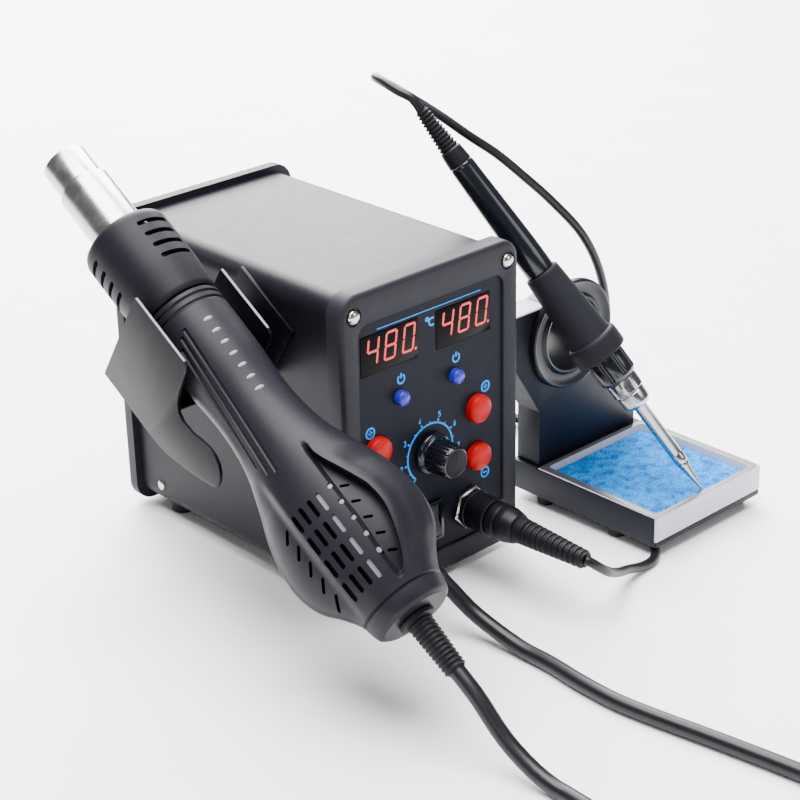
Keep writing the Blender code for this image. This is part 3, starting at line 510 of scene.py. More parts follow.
RUBBER = coated("black_rubber", (0.004, 0.004, 0.006), 0.52, 0.5, 0.03, 0.15, shine=0.2)
JACKET = coated("cord_rubber", (0.004, 0.004, 0.006), 0.36, 0.9, 0.015, 0.12, shine=0.3)
GRIP = coated("grip_rubber", (0.008, 0.008, 0.012), 0.58, 0.5, 0.03, 0.10, shine=0.14)
GUARD = coated("guard_plastic", (0.004, 0.004, 0.007), 0.50, 0.45, 0.03, 0.08, shine=0.16)
HANDLE = coated("handle_plastic", (0.0065, 0.0062, 0.010), 0.44, 0.45, 0.03, 0.08, shine=0.18)
# Painted highlight: a light grey that stands for the glints on the grip nubs and on the floors of the front
# slots.
HANDLE_HIGHLIGHT = coated("handle_painted_highlight", (0.16, 0.155, 0.19), 0.30, 0.6, 0.01, 0.05, "handle_plastic")
BLACK_PAINT = coated("cradle_paint", (0.002, 0.002, 0.0035), 0.40, 0.5, 0.03, 0.12, shine=0.14)
STAND = coated("stand_paint", (0.006, 0.0068, 0.013), 0.46, 0.5, 0.03, 0.10, shine=0.16)
FUNNEL = coated("funnel_plastic", (0.004, 0.004, 0.008), 0.34, 0.5, 0.02, 0.12, shine=0.25)
# Light grey of the sponge tray, also laid on the upright's top as a painted highlight.
TRAY_AND_TOP_HIGHLIGHT = coated("tray_paint", (0.50, 0.50, 0.57), 0.35, 0.6, 0.01, 0.04)
RIM = coated("tray_rim", (0.055, 0.055, 0.066), 0.35, 0.6, 0.01, 0.08, "tray_paint")
ROCKER = coated("rocker_plastic", (0.03, 0.031, 0.038), 0.45, 0.4, 0.02, 0.1, "black_plastic", shine=0.3)
CERAMIC = coated("heater_ceramic", (0.75, 0.73, 0.68), 0.7, 0.5, 0.03, 0.06)
WHITE_PRINT = coated("white_print", (0.40, 0.40, 0.45), 0.5, 0.2, 0.005, 0.05, "black_plastic")
# Painted highlight: a light grey for the bright top edges of the cradle's walls.
EDGE_HIGHLIGHT = coated("edge_painted_highlight", (0.20, 0.20, 0.23), 0.40, 0.3, 0.02, 0.15, "cradle_paint")
CORE = coated("transformer_core", (0.20, 0.17, 0.15), 0.5, 0.5, 0.05, 0.15, metallic=0.6)
TUBE_STEEL = brushed("brushed_tube", (0.44, 0.43, 0.42), 0.24)
IRON_STEEL = brushed("iron_steel", (0.36, 0.36, 0.38), 0.20)
NICKEL = brushed("bright_metal", (0.52, 0.50, 0.45), 0.20, (6, 6, 6), 0.4, 0.004)
SPONGE = sponge_finish()
BOARD = board_finish()


# ---------------------------------------------------------------- pieces


def linked(name, data):
    made = bpy.data.objects.new(name, data)
    bpy.context.scene.collection.objects.link(made)
    return made


def meshed(name, shape, materials, sharp):
    """A shape in metres as an object, smooth except where it turns by more than an angle."""
    bmesh.ops.recalc_face_normals(shape, faces=shape.faces)
    mesh = bpy.data.meshes.new(name)
    shape.to_mesh(mesh)
    shape.free()
    mesh.shade_smooth()
    mesh.set_sharp_from_angle(angle=math.radians(sharp))
    for material in materials:
        mesh.materials.append(material)
    return linked(name, mesh)


def piece(name, shape, material, body="station", stands_for=(), at=None, sharp=35):
    """A shape in millimetres as a piece that rides on a body. at is its frame on the bench."""
    bmesh.ops.scale(shape, vec=(MM, MM, MM), verts=shape.verts)
    materials = material if isinstance(material, list) else [material]
    made = meshed(name, shape, materials, sharp)
    place = at or Matrix.Identity(4)
    made.matrix_world = Matrix.Translation(row(place.translation)) @ place.to_3x3().to_4x4()
    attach(made, body)
    if stands_for:
        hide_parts(*stands_for)
    return made


def ribbed(start, end, radius_start, radius_end, ribs, depth, share=0.6):
    """The outer profile of a tapered strain relief with round ribs."""
    profile = []
    pitch = (end - start) / ribs
    for i in range(ribs):
        radius = radius_start + (radius_end - radius_start) * i / max(ribs - 1, 1)
        at = start + i * pitch
        profile += [(radius - depth, at), (radius - depth * 0.2, at + 0.08 * pitch)]
        profile += [(radius, at + 0.16 * pitch)]
        profile += [(radius, at + (share - 0.08) * pitch), (radius - depth * 0.2, at + share * pitch)]
        profile.append((radius - depth, at + (share + 0.08) * pitch))
    profile.append((radius_end - depth, end))
    return profile


# ---------------------------------------------------------------- camera, light and floor


def stage_and_light():
    floor = bpy.data.meshes.new("floor")
    half = 3.0
    corners = [(-half, -half, 0), (half, -half, 0), (half, half, 0), (-half, half, 0)]
    floor.from_pydata(corners, [], [(0, 1, 2, 3)])
    ground = linked("floor", floor)
    ground.location.z = -0.0002
    pale = Finish("pale_floor")
    pale.colour(pale.ramp(pale.noise(60, 2), (0.3, (0.86, 0.86, 0.87)), (0.7, (0.90, 0.90, 0.91))))
    pale.shader.inputs["Roughness"].default_value = 0.7
    floor.materials.append(pale.material)
    world = bpy.data.worlds.new("studio")
    world.use_nodes = True
    world.node_tree.nodes["Background"].inputs["Color"].default_value = (0.95, 0.96, 1.0, 1)
    world.node_tree.nodes["Background"].inputs["Strength"].default_value = 0.24
    bpy.context.scene.world = world
    middle = row((0, 40, 80))
    panels = (
        ("back_panel", (0.75, 1.15, 0.95), 1.6, 150.0),
        ("overhead", (-0.15, 0.1, 1.6), 1.6, 125.0),
        ("left_front", (-1.3, -0.75, 0.9), 0.8, 5.0),
        ("right_front", (0.6, -1.3, 0.7), 0.8, 7.0),
    )
    for name, place, size, power in panels:
        lamp = bpy.data.lights.new(name, "AREA")
        lamp.shape = "DISK"
        lamp.size = size
        lamp.energy = power
        made = linked(name, lamp)
        made.location = middle + Vector(place)
        made.rotation_euler = (middle - made.location).to_track_quat("-Z", "Y").to_euler()


def camera():
    """Stands at the front left, a little above, where it sees the panel, the gun and the stand."""
    turn, rise, roll = math.radians(-42.83), math.radians(24.85), math.radians(-1.23)
    target = Vector((-21.64, 0, 99.23))
    distance = 925.52
    back = Vector((math.sin(turn) * math.cos(rise), -math.cos(turn) * math.cos(rise), math.sin(rise)))
    right = Vector((math.cos(turn), math.sin(turn), 0))
    up = back.cross(right)
    across = right * math.cos(roll) + up * math.sin(roll)
    above = up * math.cos(roll) - right * math.sin(roll)
    data = bpy.data.cameras.new("camera")
    data.lens = 92.34
    data.sensor_width = 36.0
    made = linked("camera", data)
    place = Matrix.Translation(row(target + back * distance))
    made.matrix_world = place @ Matrix((across, above, back)).transposed().to_4x4()
    bpy.context.scene.camera = made


# ---------------------------------------------------------------- cords


def coil_route(centre, radius, cord, start, turns=2.5):
    """Clockwise turns on the bench: an outer one, an inner one, then a last one on top of both."""
    rest = TABLE + cord
    steps = round(turns * 24)
    points = []
    for i in range(steps + 1):
        wound = 360 * turns * i / steps
        inward = smooth_step(280, 360, wound)
        lift = smooth_step(555, 640, wound)
        outward = smooth_step(600, 690, wound)
        at = radius + cord * (1 - 2 * inward + outward)
        hump = max(0.0, math.cos(math.radians(min(90, abs(wound - 680)))))
        z = rest + cord * (1.74 * lift + 0.42 * hump * lift)
        angle = math.radians(start - wound)
        points.append(Vector((centre[0] + at * math.cos(angle), centre[1] + at * math.sin(angle), z)))
    return points


def smooth_step(low, high, value):
    share = min(1.0, max(0.0, (value - low) / (high - low)))
    return share * share * (3 - 2 * share)


def cord_piece(name, route, radius, stands_for, blends=None):
    """A cord as a tube along its route, at its real length."""
    points = smooth_route(route, radius * 1.5)
    shape = tube(points, radius, 20)
    bmesh.ops.scale(shape, vec=(MM, MM, MM), verts=shape.verts)
    bmesh.ops.translate(shape, vec=SHIFT, verts=shape.verts)
    made = meshed(name, shape, [JACKET], 60)
    if blends:
        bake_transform(made)
    else:
        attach(made, "station")
    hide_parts(*stands_for)
    return made


GUN_COIL = ((-50.0, -304.0), 41.0)
IRON_COIL = ((125.0, 108.0), 25.0)


def gun_cord():
    """Out of the gland, along the bench, wound up in front of the unit and back to the gun's tail."""
    rest = TABLE + GUN_CORD
    (left, bottom), radius = GUN_COIL
    gland = (-30.0, -24.3, 26.0)
    route = [gland, (-29.7, -28.0, 25.8), (-27.4, -37.0, 19.0), (-23.4, -50.0, 8.6)]
    route += [(-21.0, -74.0, rest + 0.6), (-20.8, -92.0, rest), (-22.6, -112.0, rest)]
    route += [(-23.0, -132.0, rest), (-20.6, -152.0, rest), (-15.0, -184.0, rest)]
    route += [(-9.0, -225.0, rest), (left + radius + GUN_CORD + 0.6, bottom + 32, rest)]
    route += coil_route((left, bottom), radius, GUN_CORD, 0)
    meeting = (-87.5, -164.0, rest)
    route += [(left - radius, bottom + 14, rest + 6.2), (left - radius - 0.4, bottom + 32, rest + 2.2)]
    route += [(left - radius, bottom + 50, rest), (-90.2, -228.0, rest), (-88.6, -190.0, rest), meeting]
    nodes = ("gun_cord_return", "gun_cord_coil")
    cord_piece("gun_cord_on_bench", route, GUN_CORD, nodes)
    tail = GUN @ Vector((0, 0, TAIL + GUN_BOOT))
    ahead = GUN @ Vector((0, 0, TAIL + GUN_BOOT + 14))
    route = [meeting, (-87.6, -158.0, rest + 0.2), (-88.5, -146.0, 4.5), (-89.5, -131.0, 13.0)]
    route += [ahead, tail]
    blends = ("hot_air_gun", meeting, tail)
    cord_piece("gun_cord_to_gun", route, GUN_CORD, ("gun_cord_lead",), blends=blends)


def iron_cord():
    """Out of the plug, under the stand, wound up behind it, then up over the stand to the iron."""
    rest = TABLE + IRON_CORD
    (middle, back), radius = IRON_COIL
    plug_end = (22.4, -74.8, 28.4)
    route = [plug_end, (22.8, -77.0, 28.2), (32.0, -78.5, 20.6), (47.0, -72.0, 11.0)]
    route += [(62.0, -66.0, 4.2), (75.0, -64.0, rest + 0.6), (84.0, -63.0, rest), (91.5, -58.5, rest)]
    route += [(99.0, -50.0, rest), (107.0, -36.0, rest), (110.0, -16.0, rest), (109.0, 6.0, rest)]
    route += [(105.0, 34.0, rest), (99.0, 62.0, rest)]
    route += [(middle - radius - IRON_CORD - 0.5, back - 20, rest)]
    route += coil_route((middle, back), radius, IRON_CORD, 180)
    foot = (166.0, 43.6, 22.0)
    route += [(middle + radius, back - 9, rest + 3.8), (middle + radius + 1.5, back - 21, rest + 1.2)]
    route += [(158.6, 64.0, rest), (162.8, 52.5, rest + 3.2), (165.2, 46.6, 9.6), foot]
    nodes = ("iron_cord_plug_lead", "iron_cord_coil")
    blends = ("iron_plug", (60.0, -70.0, 0.0), (26.0, -70.0, 26.0))
    plug_pieces = iron_plug()
    cord_piece("iron_cord_on_bench", route, IRON_CORD, nodes, blends)
    end = IRON @ Vector((0, 0, IRON_BOOT_END))
    route = [foot, (165.2, 42.0, 52.0), (160.8, 37.2, 80.0), (151.6, 35.0, 105.4), (139.9, 37.0, 127.0)]
    route += [(124.0, 43.3, 146.8), (110.8, 49.5, 161.2), (99.6, 57.1, 173.6), (89.8, 66.0, 183.0)]
    route += [(82.0, 77.3, 192.2), (74.6, 88.8, 200.2), (68.6, 96.4, 205.8), (62.8, 100.0, 210.2)]
    route += [(57.3, 97.9, 213.4), (53.9, 91.8, 214.2), (52.7, 84.4, 213.4), (53.7, 77.3, 211.0)]
    route += [IRON @ Vector((0, 0, IRON_BOOT_END + 7)), end]
    blends = ("soldering_iron", (166.0, 43.6, 30.0), end)
    cord_piece("iron_cord_to_iron", route, IRON_CORD, ("iron_cord_rise",), blends)


def iron_plug():
    """The round plug: a ribbed coupling ring, a stepped shell and a long ribbed boot."""
    place = front(*SOCKET)
    shell = [(0, -0.4), (6.0, -0.4), (6.0, 17.3), (8.4, 17.3), (8.8, 18.6), (8.8, 22.0)]
    shell += [(8.3, 22.4), (8.3, 23.0)]
    shell += [(8.8, 23.4), (8.8, 26.5), (7.6, 31.6), (7.0, 32.8), (0, 32.8)]
    body = piece(
        "plug_body", turned(softened(shell, 0.5)), PLASTIC, "iron_plug", ["iron_plug_shell"], place
    )
    ring = [(8.1, 2.2), (9.3, 2.2), (9.7, 2.7), (9.7, 4.4), (9.2, 4.8), (9.2, 14.4), (9.7, 14.8)]
    ring += [(9.7, 16.4)]
    ring += [(9.2, 17.0), (8.1, 17.0)]
    collar = turned(ring, 64)
    grooves = []
    for i in range(20):
        tool = box((9.0, 10.4), (-0.45, 0.45), (5.6, 13.8))
        grooves.append(moved(tool, Matrix.Rotation(math.radians(18 * i), 4, "Z")))
    collar = piece("plug_collar", cut(collar, *grooves), PLASTIC, "plug_ring", ["iron_plug_ring"], place)
    boot = [(0, 33.1), (6.4, 33.1), (6.5, 34.0), (6.2, 38.0)]
    boot += ribbed(38.6, 74.5, 6.2, 4.6, 11, 0.9)
    boot += [(0, 74.5)]
    relief = piece("plug_strain_relief", turned(boot), RUBBER, "iron_plug", ["iron_plug_boot"], place)
    return [body, collar, relief]


# ---------------------------------------------------------------- control unit


def case():
    """The folded sleeve between the two bezels."""
    width, height = WIDTH - 2 * CASE_INSET, HEIGHT - 2 * CASE_INSET
    rings = []
    near, far = 10.3, DEPTH - 7.3
    for inset, radius, y in ((0.0, 9.0, near), (0.0, 9.0, far), (1.5, 7.5, far), (1.5, 7.5, near)):
        outline = rounded(width - 2 * inset, height - 2 * inset, radius, (0, MIDDLE), 12)
        rings.append([(x, y, z) for x, z in outline])
    shape = loft(rings, closed=True)
    piece("case_sleeve", shape, CASE, stands_for=["case_shell"], sharp=30)
    small = [(0, -0.4), (2.6, -0.4), (2.5, 0.5), (1.6, 1.0), (0, 1.15)]
    for side in (-1, 1):
        for y in (146.0, 24.0):
            turn = Matrix.Rotation(side * math.pi / 2, 4, "Y")
            place = Matrix.Translation((side * (WIDTH / 2 - CASE_INSET), y, 14.6)) @ turn
            head = cut(turned(small, 24), cross_recess(1.3, 0.5, 0.4))
            side_name = "left" if side < 0 else "right"
            piece(f"case_screw_{side_name}_{int(y)}", head, NICKEL, at=place)


def cross_recess(reach, half_width, floor):
    arms = [box((-reach, reach), (-half_width / 2, half_width / 2), (floor, 6))]
    arms.append(box((-half_width / 2, half_width / 2), (-reach, reach), (floor, 6.1)))
    return merged(arms)


def bezel_profile(front_round, steps=5):
    """(inset, depth) pairs of a bezel's rounded front edge, from its face to its side."""
    profile = []
    for i in range(steps + 1):
        angle = math.pi / 2 * i / steps
        profile.append((front_round * (1 - math.sin(angle)), front_round * (1 - math.cos(angle))))
    return profile


def front_bezel():
    rings = []
    for inset, y in bezel_profile(2.4) + [(0.0, 10.0)]:
        radius = CORNER - inset
        outline = rounded(WIDTH - 2 * inset, HEIGHT - 2 * inset, radius, (0, MIDDLE), 12)
        rings.append([(x, y, z) for x, z in outline])
    (left, bottom), (right, top) = PANEL
    centre = ((left + right) / 2, (bottom + top) / 2)
    for grow, y in ((0.0, 10.0), (0.0, 0.9), (0.25, 0.35), (0.9, 0.0)):
        outline = rounded(right - left + 2 * grow, top - bottom + 2 * grow, 6 + grow, centre, 12)
        rings.append([(x, y, z) for x, z in outline])
    shape = loft(rings, closed=True)
    wells = []
    for x, z in SCREWS.values():
        profile = [(0, -7), (1.7, -7), (1.7, -0.9), (4.1, -0.9), (4.4, 0.2), (4.4, 1), (0, 1)]
        wells.append(moved(turned(profile, 32), front(x, z)))
    piece("front_frame", cut(shape, *wells), BEZEL, stands_for=["front_bezel"])
    head = [(0, -6.5), (1.35, -6.5), (1.35, -0.8), (3.3, -0.8), (3.5, -0.3), (3.3, 0.5), (2.5, 1.3)]
    head += [(1.3, 1.75), (0, 1.9)]
    for name, (x, z) in SCREWS.items():
        screw = cut(turned(head, 32), cross_recess(2.1, 0.8, 0.7))
        piece(f"{name}_head", screw, NICKEL, stands_for=[name], at=front(x, z), sharp=50)


def front_panel():
    (left, bottom), (right, top) = PANEL
    centre = ((left + right) / 2, (bottom + top) / 2)
    back = PANEL_Y + 2.0
    sheet = prism(rounded(right - left - 0.3, top - bottom - 0.3, 5.8, centre, 12), PANEL_Y, back)
    through = (PANEL_Y - 1, back + 1)
    holes = []
    for x, z in DISPLAYS.values():
        width, height = DISPLAY_SIZE
        holes.append(prism(rounded(width + 0.4, height + 0.4, 0.5, (x, z), 3), *through))
    rounds = [(place, 7.2) for place in REDS.values()] + [(place, 3.8) for place in BLUES.values()]
    rounds += [(KNOB, 3.4), (SOCKET, 8.0), (GLAND, 5.4)]
    holes += [prism(circle(place, radius, 40), *through) for place, radius in rounds]
    width, height = SWITCH_SIZE
    holes.append(prism(rounded(width - 1.6, height - 1.6, 0.5, SWITCH, 3), *through))
    piece("panel_sheet", cut(sheet, *holes), PANEL_PAINT, stands_for=["front_panel"])


def inked(lines, width, low=0.0, high=0.06):
    """Raised lines of print on the plane z = 0. A line that ends where it starts is a loop."""
    shapes = []
    for line in lines:
        closed = line[0] == line[-1]
        points = [Vector(point) for point in (line[:-1] if closed else line)]
        rings = []
        for i, point in enumerate(points):
            before = points[i - 1] if closed or i else point
            after = points[(i + 1) % len(points)] if closed or i < len(points) - 1 else point
            arriving = (point - before) if point != before else (after - point)
            leaving = (after - point) if after != point else (point - before)
            across = arriving.normalized() + leaving.normalized()
            across = Vector((-across.y, across.x)).normalized()
            square = Vector((-leaving.y, leaving.x)).normalized()
            reach = across * (width / 2) / max(0.4, abs(across.dot(square)))
            sides = (point - reach, point + reach)
            rings.append([(*sides[0], low), (*sides[1], low), (*sides[1], high), (*sides[0], high)])
        shapes.append(loft(rings, closed=closed))
    return merged(shapes)


FIGURES = {
    "1": [[(0.2, 1.5), (0.6, 2), (0.6, 0)]],
    "2": [[(0, 1.6), (0.25, 2), (0.8, 2), (1, 1.6), (0.9, 1.2), (0, 0), (1, 0)]],
    "3": [[(0, 1.7), (0.3, 2), (0.8, 2), (1, 1.55), (0.6, 1.05), (1, 0.5), (0.8, 0), (0.3, 0), (0, 0.3)]],
    "4": [[(0.75, 0), (0.75, 2), (0, 0.6), (1, 0.6)]],
    "5": [[(0.95, 2), (0.1, 2), (0, 1.1), (0.6, 1.25), (1, 0.9), (1, 0.35), (0.7, 0), (0.2, 0), (0, 0.25)]],
    "6": [[(0.9, 2), (0.3, 1.5), (0, 0.7), (0.2, 0.1), (0.7, 0), (1, 0.4), (0.9, 0.95), (0.5, 1.1), (0.1, 0.8)]],
    "7": [[(0, 2), (1, 2), (0.4, 0)]],
    "8": [
        [(0.5, 1.05), (0.1, 1.4), (0.2, 1.9), (0.5, 2), (0.8, 1.9), (0.9, 1.4), (0.5, 1.05)],
        [(0.5, 1.05), (0, 0.6), (0.1, 0.15), (0.5, 0), (0.9, 0.15), (1, 0.6), (0.5, 1.05)],
    ],
}


def figure(name, x, z, height):
    size = height / 2
    return [[(x + (a - 0.5) * size, z + (b - 1) * size) for a, b in line] for line in FIGURES[name]]


def ring_line(x, z, radius, start=0, end=360, steps=32):
    line = arc((x, z), radius, start, end, steps)
    return line[:-1] + [line[0]] if end - start == 360 else line


def panel_print():
    """The cyan marks: a rule over the displays, the degree sign, power and plus signs, and the dial."""
    fine = [[(-33.2, 136.9), (31.6, 136.9)]]
    bold = [ring_line(-2.6, 132.4, 0.75, steps=12), arc((0.4, 130.6), 1.8, 50, 310, 12)]
    for x, z in BLUES.values():
        x, z = x + 1.0, z + 8.6
        bold += [arc((x, z), 2.1, 122, 418, 20), [(x, z + 0.4), (x, z + 2.9)]]
    for x, z, plus in ((-38.8, 87.8, 1), (34.7, 87.3, 1), (34.3, 42.2, 0), (-39.0, 42.4, 0)):
        bold += [ring_line(x, z, 2.5, steps=24), [(x - 1.3, z), (x + 1.3, z)]]
        if plus:
            bold.append([(x, z - 1.3), (x, z + 1.3)])
    x, z = KNOB
    dial = 14.4
    bold.append(arc((x, z), dial, -48, 228, 60))
    for i in range(8):
        angle = math.radians(228 - 276 * i / 7)
        ray = Vector((math.cos(angle), math.sin(angle)))
        bold.append([tuple(Vector((x, z)) + ray * dial), tuple(Vector((x, z)) + ray * (dial + 2.0))])
        fine += figure(str(i + 1), x + ray.x * (dial + 4.2), z + ray.y * (dial + 4.2), 2.5)
        if i < 7:
            angle = math.radians(228 - 276 * (i + 0.5) / 7)
            ray = Vector((math.cos(angle), math.sin(angle)))
            fine.append([tuple(Vector((x, z)) + ray * dial), tuple(Vector((x, z)) + ray * (dial + 1.3))])
    place = front(0, 0, PANEL_Y)
    piece("panel_marks_fine", inked(fine, 0.5, -0.1), PRINT, at=place)
    piece("panel_marks_bold", inked(bold, 0.95, -0.1, 0.07), PRINT, at=place)


def segment(start, end, thickness):
    """One pointed bar of a seven-segment digit, as an outline."""
    start, end = Vector(start), Vector(end)
    ahead = (end - start).normalized()
    side = Vector((-ahead.y, ahead.x)) * thickness / 2
    inner = (start + ahead * thickness / 2, end - ahead * thickness / 2)
    return [start, inner[0] - side, inner[1] - side, end, inner[1] + side, inner[0] + side]


def digits(width, height):
    """Three slanted digits and a point, as outlines about the middle of the window."""
    half_w, half_h = width * 0.088, height * 0.33
    level = height * 0.07
    corners = {
        "a": ((-half_w, half_h), (half_w, half_h)),
        "b": ((half_w, half_h), (half_w, 0)),
        "c": ((half_w, 0), (half_w, -half_h)),
        "d": ((-half_w, -half_h), (half_w, -half_h)),
        "e": ((-half_w, 0), (-half_w, -half_h)),
        "f": ((-half_w, half_h), (-half_w, 0)),
        "g": ((-half_w, 0), (half_w, 0)),
    }
    outlines = []
    for share, lit in ((0.207, "bcfg"), (0.517, "abcdefg"), (0.836, "abcdef")):
        middle = width * (share - 0.5)
        for name in lit:
            outline = segment(*corners[name], 1.2)
            outlines.append([(middle + p.x + 0.14 * p.y, level + p.y) for p in outline])
    dot = circle((width * 0.452, level - half_h), 0.75, 12)
    return outlines + [dot]


def displays():
    width, height = DISPLAY_SIZE
    face = PANEL_Y - 0.25
    for name, (x, z) in DISPLAYS.items():
        window = bevelled(prism(rounded(width, height, 0.4, (0, 0), 3), face, 9.0), 0.2, 2)
        piece(f"{name}_window", window, WINDOW, stands_for=[name], at=Matrix.Translation((x, 0, z)))
        bars = merged([prism(outline, -0.2, 0.05, "xy") for outline in digits(width, height)])
        piece(f"{name}_digits", bars, SEGMENT, at=front(x, z, face))


def buttons():
    for name, (x, z) in {**REDS, **BLUES}.items():
        red = name in REDS
        radius, dome = (7.0, 3.0) if red else (3.6, 2.2)
        back = PANEL_Y + 2.3
        profile = [(0, -10.6), (radius - 1.2, -10.6), (radius - 1.2, -back - 1.6)]
        profile += [(radius + 1.1, -back - 1.6)]
        profile += [(radius + 1.1, -back), (radius, -back), (radius, 1.0)]
        for i in range(1, 13):
            angle = math.pi / 2 * i / 12
            profile.append((radius * math.cos(angle) if i < 12 else 0, 1.0 + dome * math.sin(angle) ** 0.9))
        rubber = RED if red else BLUE
        piece(f"{name}_cap", turned(profile, 56), rubber, f"{name}_body", [name], front(x, z))


def knob():
    place = front(*KNOB)
    profile = [(0, -4.0), (2.9, -4.0), (2.9, -0.4), (10.2, -0.4), (10.4, 0.0), (10.4, 1.4), (9.8, 2.2)]
    profile += [(8.7, 3.0), (8.5, 3.8), (8.0, 14.4), (7.3, 15.6), (6.6, 15.9), (6.4, 15.4), (0, 15.4)]
    flutes = []
    for i in range(24):
        flute = turned([(0, 4.4), (0.75, 4.4), (0.7, 17), (0, 17)], 10)
        lean = Matrix.Rotation(math.radians(-2.6), 4, "Y")
        turn = Matrix.Rotation(2 * math.pi * i / 24, 4, "Z")
        flutes.append(moved(flute, turn @ Matrix.Translation((8.75, 0, 0)) @ lean))
    body = cut(turned(softened(profile, 0.4), 96), *flutes)
    piece("knob_body", body, GLOSS, "knob", ["airflow_knob"], place, 40)
    cap = [(0, 15.0), (6.35, 15.0), (6.35, 15.9), (6.0, 16.15), (0, 16.3)]
    piece("knob_cap", turned(cap, 48), GRIP, "knob", at=place)
    mark = bevelled(box((-0.55, 0.55), (1.6, 6.0), (16.0, 16.45)), 0.15, 2)
    piece("knob_pointer", mark, GRIP, "knob", at=place)


def power_switch():
    width, height = SWITCH_SIZE
    place = Matrix.Translation((SWITCH[0], 0, SWITCH[1]))
    flange = bevelled(prism(rounded(width, height, 1.5, (0, 0), 5), PANEL_Y - 2.1, PANEL_Y - 0.3), 0.5, 3)
    body = box((-width / 2 + 1, width / 2 - 1), (PANEL_Y - 0.8, 19), (-height / 2 + 1, height / 2 - 1))
    housing = boolean(flange, body, "UNION")
    cavity = prism(rounded(width - 3.8, height - 3.8, 0.6, (0, 0), 4), -4, 10)
    piece("switch_housing", cut(housing, cavity), GLOSS, stands_for=["power_switch_housing"], at=place)
    half = width / 2 - 2.2
    outline = [(-1.9, -7.6), (-1.35, -4.2), (-0.75, -1.0), (-0.75, 1.0), (-1.35, 4.2), (-1.9, 7.6)]
    outline += [(-1.2, 8.0), (2.2, 8.0), (6.0, 1.6), (6.0, -1.6), (2.2, -8.0), (-1.2, -8.0)]
    axle = Matrix.Translation((SWITCH[0], PANEL_Y, SWITCH[1])) @ Matrix.Rotation(math.radians(-10), 4, "X")
    rocker = bevelled(prism(outline, -half, half, "yz"), 0.3, 2, 30)
    piece("rocker_cap", rocker, ROCKER, "rocker", ["power_switch_rocker"], axle)
    marks = []
    for level, line in ((3.9, [(0, -1.6), (0, 1.6)]), (-4.1, ring_line(0, 0, 1.5, steps=24))):
        tilt = math.copysign(math.radians(9.7), level)
        spot = Matrix.Translation((0, -1.3, level)) @ Matrix.Rotation(math.pi / 2 + tilt, 4, "X")
        marks.append(moved(inked([line], 0.7, -0.3, 0.06), spot))
    piece("rocker_marks", merged(marks), WHITE_PRINT, "rocker", at=axle)


def iron_socket():
    place = front(*SOCKET)
    profile = [(0, -1.2), (10.2, -1.2), (11.0, -0.6), (11.0, 1.0), (10.2, 1.6), (0, 1.6)]
    blank = turned(profile, 6, math.radians(12))
    round_off = turned([(0, -2), (11.2, -2), (11.2, 0.5), (10.0, 1.7), (9.6, 2), (0, 2)], 64)
    hexagon = boolean(blank, round_off, "INTERSECT")
    hole = turned([(0, -3), (8.1, -3), (8.1, 1.2), (8.6, 1.8), (8.6, 4), (0, 4)], 64)
    piece("socket_nut", cut(hexagon, hole), NICKEL, stands_for=["iron_socket_nut"], at=place)
    bpy.data.objects["iron_socket"].data.materials[0] = NICKEL


def gun_gland():
    gland = [(0, -6.8), (8, -6.8), (8, -3.8), (5.2, -3.8), (5.2, -1.2), (7.4, -1.2), (7.6, -0.8)]
    gland += [(7.4, 1.4)]
    gland += ribbed(1.7, 24, 6.2, 5.0, 8, 0.9)
    gland += [(0, 24)]
    piece("gland_boot", turned(gland, 48), RUBBER, stands_for=["gun_cord_gland"], at=front(*GLAND))


def feet():
    for end, y in (("front", 24.0), ("rear", DEPTH - 24.0)):
        for side, x in (("left", -39.5), ("right", 39.5)):
            profile = [(0, TABLE + 0.8), (3.2, TABLE + 0.8), (3.6, TABLE), (5.7, TABLE)]
            profile += [(6.3, TABLE + 0.5)]
            profile += [(6.5, TABLE + 1.4), (6.5, 3.0), (0, 3.0)]
            name = f"unit_foot_{end}_{side}"
            place = Matrix.Translation((x, y, 0))
            piece(f"rubber_foot_{end}_{side}", turned(profile, 40), RUBBER, stands_for=[name], at=place)


def rear():
    """The back plate with its rounded edge, six vents, four screws and the mains inlet."""
    start = DEPTH - 7.0
    rings = []
    for inset, back in [(0.0, 7.0)] + list(reversed(bezel_profile(1.8))):
        outline = rounded(WIDTH - 2 * inset, HEIGHT - 2 * inset, CORNER - inset, (0, MIDDLE), 12)
        rings.append([(x, DEPTH - back, z) for x, z in outline])
    tools = [prism(rounded(28.6, 22.6, 0.6, (0, 30), 3), start - 1, DEPTH + 1)]
    tools += [prism(rounded(56, 3.2, 1.5, (0, 86 + i * 8), 5), start - 1, DEPTH + 1) for i in range(6)]
    piece("back_plate", cut(loft(rings), *tools), BEZEL, stands_for=["rear_bezel"])
    head = [(0, -0.4), (3.3, -0.4), (3.4, 0.2), (2.6, 1.2), (1.3, 1.6), (0, 1.7)]
    for i, (x, z) in enumerate(SCREWS.values()):
        place = Matrix.Translation((x, DEPTH, z)) @ Matrix.Rotation(-math.pi / 2, 4, "X")
        screw = cut(turned(head, 24), cross_recess(2.0, 0.8, 0.6))
        piece(f"rear_screw_{i + 1}", screw, NICKEL, at=place, sharp=50)
    body = box((-14, 14), (DEPTH - 22, DEPTH + 1), (19, 41))
    flange = bevelled(prism(rounded(34, 28, 4, (0, 30), 8), DEPTH + 0.3, DEPTH + 3.0), 0.6, 3)
    well = prism(rounded(24, 16.5, 4, (0, 30), 8), DEPTH - 15, DEPTH + 4)
    piece("inlet_body", cut(boolean(body, flange, "UNION"), well), PLASTIC, stands_for=["mains_inlet"])
    pins = [bevelled(box((x - 1, x + 1), (DEPTH - 16, DEPTH - 3), (28, 32)), 0.4, 2) for x in (-7, 0, 7)]
    piece("inlet_pins", merged(pins), NICKEL)


def inside():
    finishes = {
        "control_board": BOARD,
        "power_board": BOARD,
        "transformer": CORE,
        "airflow_potentiometer": NICKEL,
        "heater_core": CERAMIC,
        "fan_impeller": PLASTIC,
    }
    for name, finish in finishes.items():
        bpy.data.objects[name].data.materials[0] = finish


# ---------------------------------------------------------------- hot air gun


